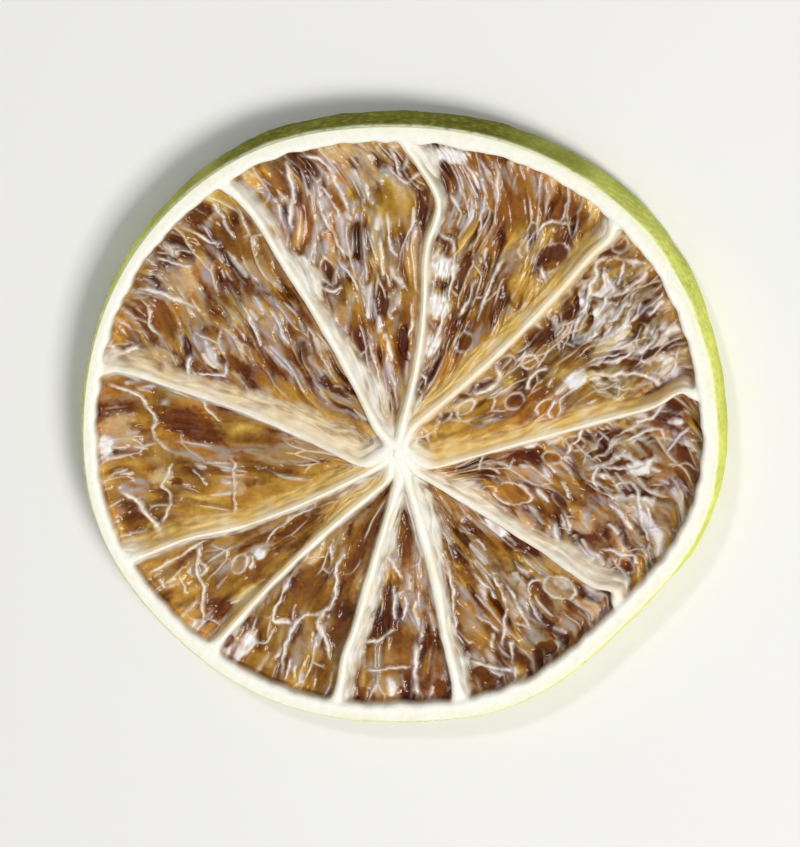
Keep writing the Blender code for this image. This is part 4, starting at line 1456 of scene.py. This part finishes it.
def flesh_material(settings):
    """Glossy dried pulp with pale threads and painted highlights, sheen and shade, and matt cream walls and
    pith.
    """
    material, tree, shader = new_material(FLESH_MATERIAL)
    place = place_on_piece(tree)
    wall, thread, haze, white = numbers(tree, "wall", "thread", "haze", "white")
    tone, green, hollow, gold, lime = numbers(tree, "tone", "green", "hollow", "gold", "lime")
    fine = speckle(tree, place, 2600.0, 3.0, 0.6)
    broad = speckle(tree, place, 420.0)
    stops = (
        (0.0, rgb(78, 32, 0)),
        (0.20, rgb(108, 58, 6)),
        (0.42, rgb(146, 98, 26)),
        (0.64, rgb(184, 137, 52)),
        (0.84, rgb(214, 174, 90)),
        (1.0, rgb(242, 218, 156)),
    )
    shade = tone + (fine - 0.5) * 0.35 + (broad - 0.5) * 0.25
    pulp = add_node(tree, "ShaderNodeValToRGB", {"stops": stops}, {0: shade})
    region = speckle(tree, place, 170.0, 1.0)
    pulp = mix_colours(tree, steep(tree, region, 0.48, 0.66), pulp, rgb(255, 230, 204), "MULTIPLY")
    # Painted sheen: the milky film's grey-lilac colour, which also stands in for reflections on the glossy
    # pulp
    milky_sheen = steep(tree, haze + (broad - 0.5), 0.55, 1.1)
    milky_sheen = mix_colours(tree, milky_sheen, rgb(182, 164, 146), rgb(172, 166, 172))
    pulp = mix_colours(tree, haze * steep(tree, shade, 0.12, 0.46) * 0.72, pulp, milky_sheen)
    pulp = mix_colours(tree, green * 0.9, pulp, rgb(232, 250, 222), "MULTIPLY")
    # Painted shade in the pockets
    pulp = mix_colours(tree, hollow * 0.5, pulp, rgb(160, 108, 52), "MULTIPLY")
    # Painted highlights, in a near-white colour
    pulp = mix_colours(tree, white * (0.64 + fine * 0.7), pulp, rgb(238, 238, 240))
    # Threads turn lilac-white where sheen is painted, as a painted reflection
    lilac = (haze * 0.8 + broad * 0.8 - 0.2).clipped()
    lilac = mix_colours(tree, lilac, tuple(settings.thread_colour), rgb(238, 228, 232))
    pulp = mix_colours(tree, thread * (0.72 + fine * 0.6), pulp, lilac)
    cream = mix_colours(tree, steep(tree, fine, 0.40, 0.80), tuple(settings.pith_colour), rgb(246, 243, 222))
    cream = mix_colours(tree, gold * 0.95, cream, rgb(238, 196, 94))
    cream = mix_colours(tree, lime * 0.30, cream, rgb(224, 230, 150))
    pale = (wall + (fine - 0.5) * 0.25 * (1 - wall) * wall).clipped()
    colour = mix_colours(tree, pale, pulp, cream)

    matt = (wall + thread * 0.25 + haze * 0.15).clipped()
    grain = (fine - 0.5) * 0.6 + speckle(tree, place, 900.0)
    bump = add_node(tree, "ShaderNodeBump", {}, {"Strength": 0.6, "Distance": 0.00005, "Height": grain})
    connect(
        tree,
        shader,
        Base_Color=colour,
        Roughness=matt * 0.42 + 0.18 + (broad - 0.5) * 0.12,
        Specular_IOR_Level=0.32,
        Normal=bump,
    )
    return material


def skin_material(settings):
    """Green skin with lighter oil glands, olive on one side of the slice and yellow-green on the other,
    partly as painted shade and light.
    """
    material, tree, shader = new_material("lime skin")
    place = place_on_piece(tree)
    gland, sunny, top = numbers(tree, "gland", "sunny", "top")
    fine = speckle(tree, place, 1500.0, 3.0, 0.6)
    broad = speckle(tree, place, 260.0)
    # The olive side is partly painted shade, and the yellow-green side is partly painted light
    sunlit = sunny + (broad - 0.5) * 0.5
    green = mix_colours(tree, sunlit, tuple(settings.olive_colour), tuple(settings.green_colour))
    green = mix_colours(tree, (fine - 0.46) * 1.8, green, rgb(160, 168, 34))
    spot = gland * (fine * 1.3 - 0.14) * (sunny * 0.5 + 0.5)
    green = mix_colours(tree, spot, green, tuple(settings.gland_colour))
    colour = mix_colours(tree, top, green, tuple(settings.edge_colour))
    grain = (fine - 0.5) * 0.8
    bump = add_node(tree, "ShaderNodeBump", {}, {"Strength": 0.5, "Distance": 0.00006, "Height": grain})
    connect(
        tree,
        shader,
        Base_Color=colour,
        Roughness=0.46 + fine * 0.2,
        Specular_IOR_Level=0.08,
        Normal=bump,
    )
    return material


def make_core():
    """The core: a lumpy plug of pith that closes the middle where all the walls meet."""
    form = bmesh.new()
    bmesh.ops.create_icosphere(form, subdivisions=6, radius=1.0)
    count = len(form.verts)
    unit = np.array([vert.co for vert in form.verts])
    faces = np.array([[vert.index for vert in face.verts] for face in form.faces])
    form.free()
    turn = np.arctan2(unit[:, 1], unit[:, 0])
    star = 0.10 * np.cos(5 * turn + 0.6) + 0.07 * np.cos(3 * turn - 1.0)
    flat = np.hypot(unit[:, 0], unit[:, 1])
    reach = (CORE_RADIUS - 0.02) * (1 + star * flat)
    x = CORE_PLACE[0] + reach * unit[:, 0]
    y = CORE_PLACE[1] + reach * unit[:, 1]
    middle, half = (CORE_TOP + CORE_FOOT) / 2, (CORE_TOP - CORE_FOOT) / 2
    up = np.sign(unit[:, 2]) * np.abs(unit[:, 2]) ** 0.45
    near, _, own = cells(x / 0.42, y / 0.42, 77)
    lump = 0.10 * (own - 0.4) * rise(0.6, 0.0, near) + 0.05 * noise(x / 0.22, y / 0.22, 78)
    z = middle + half * up + (0.05 + lump) * up
    mesh = new_mesh("core", to_frame(x, y, z), np.zeros((0, 4), dtype=np.int64), faces)
    add_number(mesh, "wall", np.ones(count))
    for key in ("gold", "lime", "thread", "tone", "green", "haze", "white", "hollow"):
        add_number(mesh, key, np.zeros(count))
    return mesh


def skin_section():
    """The skin's section down the outside as evenly spaced points, with its corners rounded off."""
    points = np.array(SKIN_SECTION)
    scale = np.array([1.0, RIM_HEIGHT])
    along = np.concatenate([[0], np.cumsum(np.hypot(*(np.diff(points, axis=0) * scale).T))])
    even = np.linspace(0, along[-1], int(along[-1] * SKIN_ROWS_PER_MM))
    fine = np.stack([np.interp(even, along, values) for values in points.T], axis=1)
    kernel = np.array([1, 2, 3, 2, 1]) / 9
    for axis in (0, 1):
        padded = np.pad(fine[:, axis], 2, mode="edge")
        fine[1:-1, axis] = np.convolve(padded, kernel, mode="valid")[1:-1]
    return fine


def make_skin_band():
    """The closed band of skin before its glands are pressed in."""
    outside = skin_section()
    section = np.concatenate([outside, SKIN_BACK])
    angle = np.linspace(0, TURN, SKIN_COLUMNS, endpoint=False)[None, :]
    outward, share = section[:, :1], section[:, 1:]
    along = angle * FLESH_RADIUS
    shrivel = 0.09 * noise(along / 3.2, share * 2.2, 501) + 0.05 * noise(along / 1.3, share * 4.0, 502)
    out = flesh_radius(angle) + pith_width(angle) + outward + rise(0.0, 0.25, outward) * shrivel
    x, y = out * np.cos(angle), out * np.sin(angle)
    lumps = 0.02 * noise(x / 0.6, y / 0.6, 503) * rise(0.9, 0.99, share)
    z = np.maximum(mix(rim_foot(angle), rim_top(angle), share) + lumps, 0.0)
    rows, columns = x.shape
    index = np.arange(rows * columns).reshape(rows, columns)
    right = np.roll(index, -1, axis=1)
    below = np.roll(index, -1, axis=0)
    corner = np.roll(right, -1, axis=0)
    quads = np.stack([index, below, corner, right], axis=-1).reshape(-1, 4)
    mesh = new_mesh("skin", to_frame(x, y, z).reshape(-1, 3), quads, [])
    outer = (outward > 0.02) & (np.arange(rows)[:, None] < len(outside)) & (angle >= 0)
    from_olive = (np.degrees(angle) - OLIVE_BEARING + 180) % 360 - 180
    from_olive = from_olive + 8 * noise(along / 2.5, share * 2, 504)
    # How far a place lies in the yellow-green stretch, a little less so low on the band: partly the skin's
    # own colour and partly painted light, with painted shade on the olive side
    sunny = rise(16, np.where(from_olive > 0, 60, 62), np.abs(from_olive + 6)) * mix(0.7, 1.0, share) + 0 * x
    blotch = 0.10 * noise(along / 0.7, share * 3, 505)
    top = rise(0.88, 0.985, share + 0.3 * blotch) * rise(0.34, 0.04, outward + blotch)
    top = top + rise(0.06, 0.0, share) * 0.7 + 0 * x
    add_number(mesh, "outer", outer * 1.0)
    add_number(mesh, "sunny", sunny)
    add_number(mesh, "top", np.clip(top, 0, 1))
    return mesh


def gland_tree(material):
    """Geometry Nodes that press evenly scattered oil glands into the skin."""
    tree = bpy.data.node_groups.new("Oil glands", "GeometryNodeTree")
    tree.interface.new_socket(name="Geometry", in_out="INPUT", socket_type="NodeSocketGeometry")
    for name in ("Spacing", "Width", "Depth"):
        tree.interface.new_socket(name=name, in_out="INPUT", socket_type="NodeSocketFloat")
    tree.interface.new_socket(name="Seed", in_out="INPUT", socket_type="NodeSocketInt")
    tree.interface.new_socket(name="Geometry", in_out="OUTPUT", socket_type="NodeSocketGeometry")
    inputs = tree.nodes.new("NodeGroupInput")
    given = {socket.name: Wire(tree, socket) for socket in inputs.outputs if socket.name}
    outer = add_node(tree, "GeometryNodeInputNamedAttribute", {"data_type": "FLOAT"}, {"Name": "outer"})
    test = {"data_type": "FLOAT", "operation": "GREATER_THAN"}
    chosen = add_node(tree, "FunctionNodeCompare", test, {0: outer, 1: 0.5})
    spread = {
        "Mesh": given["Geometry"],
        "Selection": chosen,
        "Distance Min": given["Spacing"],
        "Density Max": GLAND_DENSITY,
        "Seed": given["Seed"],
    }
    glands = add_node(tree, "GeometryNodeDistributePointsOnFaces", {"distribute_method": "POISSON"}, spread)
    to_points = {"target_element": "POINTS"}
    away = add_node(tree, "GeometryNodeProximity", to_points, {"Geometry": glands}, output=1)
    pit = (1 - steep(tree, away, 0.0, given["Width"])) * outer
    press = {0: add_node(tree, "GeometryNodeInputNormal", {}, {}), "Scale": pit * given["Depth"] * -1.0}
    press = add_node(tree, "ShaderNodeVectorMath", {"operation": "SCALE"}, press)
    moved = add_node(tree, "GeometryNodeSetPosition", {}, {"Geometry": given["Geometry"], "Offset": press})
    for_points = {"data_type": "FLOAT", "domain": "POINT"}
    kept = {"Geometry": moved, "Name": "gland", "Value": pit}
    stored = add_node(tree, "GeometryNodeStoreNamedAttribute", for_points, kept)
    real = add_node(tree, "GeometryNodeRealizeInstances", {}, {"Geometry": stored})
    dressed = add_node(tree, "GeometryNodeSetMaterial", {}, {"Geometry": real, "Material": material})
    output = tree.nodes.new("NodeGroupOutput")
    tree.links.new(dressed.socket, output.inputs[0])
    return tree


def run_nodes(piece, tree, values):
    """Runs a node tree on a piece and keeps the result as a plain mesh."""
    modifier = piece.modifiers.new(tree.name, "NODES")
    modifier.node_group = tree
    for item in tree.interface.items_tree:
        if item.in_out == "INPUT" and item.name in values:
            modifier[item.identifier] = values[item.name]
    view = bpy.context.evaluated_depsgraph_get()
    made = bpy.data.meshes.new_from_object(piece.evaluated_get(view), depsgraph=view)
    made.name = piece.name
    piece.modifiers.remove(modifier)
    piece.data = made


def colour_setting(name, description, *screen):
    return bpy.props.FloatVectorProperty(
        name=name, description=description, subtype="COLOR", size=4, default=rgb(*screen)
    )


def length_setting(name, description, default):
    return bpy.props.FloatProperty(
        name=name, description=description, unit="LENGTH", precision=5, default=default
    )


def angle_setting(name, description, degrees):
    return bpy.props.FloatProperty(
        name=name, description=description, subtype="ANGLE", default=math.radians(degrees)
    )


class LimeFleshSettings(bpy.types.PropertyGroup):
    thread_colour: colour_setting("Threads", "Colour of the pale threads in the pulp", 250, 236, 208)
    pith_colour: colour_setting("Pith", "Colour of the pith, the core and the walls", 252, 251, 240)


class LimeSkinSettings(bpy.types.PropertyGroup):
    olive_colour: colour_setting("Olive", "Colour of the skin on its darker side", 104, 100, 6)
    green_colour: colour_setting("Yellow-green", "Colour of the skin on its paler side", 230, 236, 118)
    edge_colour: colour_setting("Cut edge", "Colour of the skin's cut edge beside the pith", 244, 245, 202)
    gland_colour: colour_setting("Glands", "Colour of the oil glands", 222, 228, 120)
    gland_spacing: length_setting("Gland spacing", "Least distance between two oil glands", 0.00050)
    gland_width: length_setting("Gland reach", "Distance from a gland's middle to its pit's end", 0.00030)
    gland_depth: length_setting("Gland depth", "Depth of an oil gland's pit", 0.00009)


class LimeStageSettings(bpy.types.PropertyGroup):
    tilt: angle_setting("Tilt", "How far the camera leans away from straight above", 20)
    bearing: angle_setting("Bearing", "The side that the camera leans to, from +X towards +Y", 60)
    distance: length_setting("Distance", "How far the camera is from the slice", 0.43)
    floor_colour: colour_setting("Floor", "Colour of the floor", 238, 238, 236)


class MakeLimeFlesh(bpy.types.Operator):
    """Make the ten segments of flesh with their walls and pith"""

    bl_idname = "lime_slice.make_flesh"
    bl_label = "Make flesh"

    def execute(self, context):
        material = flesh_material(context.scene.lime_flesh)
        for index in range(len(SEGMENTS)):
            mesh = make_segment(index)
            mesh.materials.append(material)
            claim(put_in_scene(mesh))
        return {"FINISHED"}


class MakeLimeCore(bpy.types.Operator):
    """Make the core of white pith in the middle"""

    bl_idname = "lime_slice.make_core"
    bl_label = "Make core"

    def execute(self, context):
        mesh = make_core()
        mesh.materials.append(bpy.data.materials[FLESH_MATERIAL])
        claim(put_in_scene(mesh))
        return {"FINISHED"}


class MakeLimeSkin(bpy.types.Operator):
    """Make the band of green skin with its oil glands"""

    bl_idname = "lime_slice.make_skin"
    bl_label = "Make skin"

    def execute(self, context):
        settings = context.scene.lime_skin
        material = skin_material(settings)
        piece = put_in_scene(make_skin_band())
        values = {
            "Spacing": settings.gland_spacing,
            "Width": settings.gland_width,
            "Depth": settings.gland_depth,
            "Seed": GLAND_SEED,
        }
        run_nodes(piece, gland_tree(material), values)
        claim(piece)
        return {"FINISHED"}


class MakeLimeStage(bpy.types.Operator):
    """Make the pale floor, the soft lights and the camera"""

    bl_idname = "lime_slice.make_stage"
    bl_label = "Make stage"

    def execute(self, context):
        settings = context.scene.lime_stage
        make_floor(settings)
        make_lights()
        make_camera(settings)
        return {"FINISHED"}


def make_floor(settings):
    form = bmesh.new()
    bmesh.ops.create_grid(form, x_segments=1, y_segments=1, size=FLOOR_SIZE)
    mesh = bpy.data.meshes.new("floor")
    form.to_mesh(mesh)
    form.free()
    mesh.transform(Matrix.Translation((0, 0, NODE_LOW[2] - FLOOR_DROP)))
    material, tree, shader = new_material("pale floor")
    connect(tree, shader, Base_Color=tuple(settings.floor_colour), Roughness=0.8)
    mesh.materials.append(material)
    put_in_scene(mesh)


def add_light(name, place, size, power, colour):
    """A square soft light that faces the slice."""
    light = bpy.data.lights.new(name, "AREA")
    light.shape = "SQUARE"
    light.size = size
    light.energy = power
    light.color = colour
    lamp = bpy.data.objects.new(name, light)
    lamp.location = place
    lamp.rotation_euler = (-Vector(place)).to_track_quat("-Z", "Y").to_euler()
    bpy.context.scene.collection.objects.link(lamp)


def make_lights():
    add_light("key light", (0.28, -0.17, 0.46), 0.20, 2.45, (1.0, 0.98, 0.95))
    add_light("high light", (-0.10, -0.22, 0.55), 0.30, 0.12, (0.95, 0.97, 1.0))
    add_light("glint light", (-0.12, 0.30, 0.44), 0.05, 0.45, (1.0, 1.0, 1.0))
    world = bpy.data.worlds.new("soft room")
    world.use_nodes = True
    background = world.node_tree.nodes["Background"]
    background.inputs["Color"].default_value = rgb(236, 238, 244)
    background.inputs["Strength"].default_value = 0.31
    bpy.context.scene.world = world
    bpy.context.scene.view_settings.view_transform = "Standard"


def make_camera(settings):
    camera = bpy.data.cameras.new("camera")
    camera.lens = LENS
    camera.sensor_width = SENSOR
    camera.clip_start = 0.01
    camera.clip_end = 5
    target = Matrix.Translation((0, 0, NODE_HIGH[2] * AIM_HEIGHT))
    lean = Matrix.Rotation(settings.tilt, 4, (-math.sin(settings.bearing), math.cos(settings.bearing), 0))
    holder = bpy.data.objects.new("camera", camera)
    holder.matrix_world = target @ lean @ Matrix.Translation((0, 0, settings.distance))
    bpy.context.scene.collection.objects.link(holder)
    bpy.context.scene.camera = holder


class LimeSlicePanel(bpy.types.Panel):
    """Lists the makers of the lime slice's pieces"""

    bl_idname = "VIEW3D_PT_lime_slice"
    bl_label = "Dried lime slice"
    bl_space_type = "VIEW_3D"
    bl_region_type = "UI"
    bl_category = "Lime slice"

    def draw(self, context):
        scene = context.scene
        for maker, settings in MAKERS:
            self.layout.operator(maker.bl_idname)
            if settings:
                group = getattr(scene, settings)
                for name in group.__annotations__:
                    self.layout.prop(group, name)


MAKERS = (
    (MakeLimeStage, "lime_stage"),
    (MakeLimeFlesh, "lime_flesh"),
    (MakeLimeCore, None),
    (MakeLimeSkin, "lime_skin"),
)
CLASSES = (
    LimeFleshSettings,
    LimeSkinSettings,
    LimeStageSettings,
    MakeLimeFlesh,
    MakeLimeCore,
    MakeLimeSkin,
    MakeLimeStage,
    LimeSlicePanel,
)


def register():
    for kind in CLASSES:
        bpy.utils.register_class(kind)
    bpy.types.Scene.lime_flesh = bpy.props.PointerProperty(type=LimeFleshSettings)
    bpy.types.Scene.lime_skin = bpy.props.PointerProperty(type=LimeSkinSettings)
    bpy.types.Scene.lime_stage = bpy.props.PointerProperty(type=LimeStageSettings)


def unregister():
    del bpy.types.Scene.lime_stage
    del bpy.types.Scene.lime_skin
    del bpy.types.Scene.lime_flesh
    for kind in reversed(CLASSES):
        bpy.utils.unregister_class(kind)


def main():
    register()
    bpy.ops.lime_slice.make_stage()
    bpy.ops.lime_slice.make_flesh()
    bpy.ops.lime_slice.make_core()
    bpy.ops.lime_slice.make_skin()


if __name__ == "__main__":
    main()
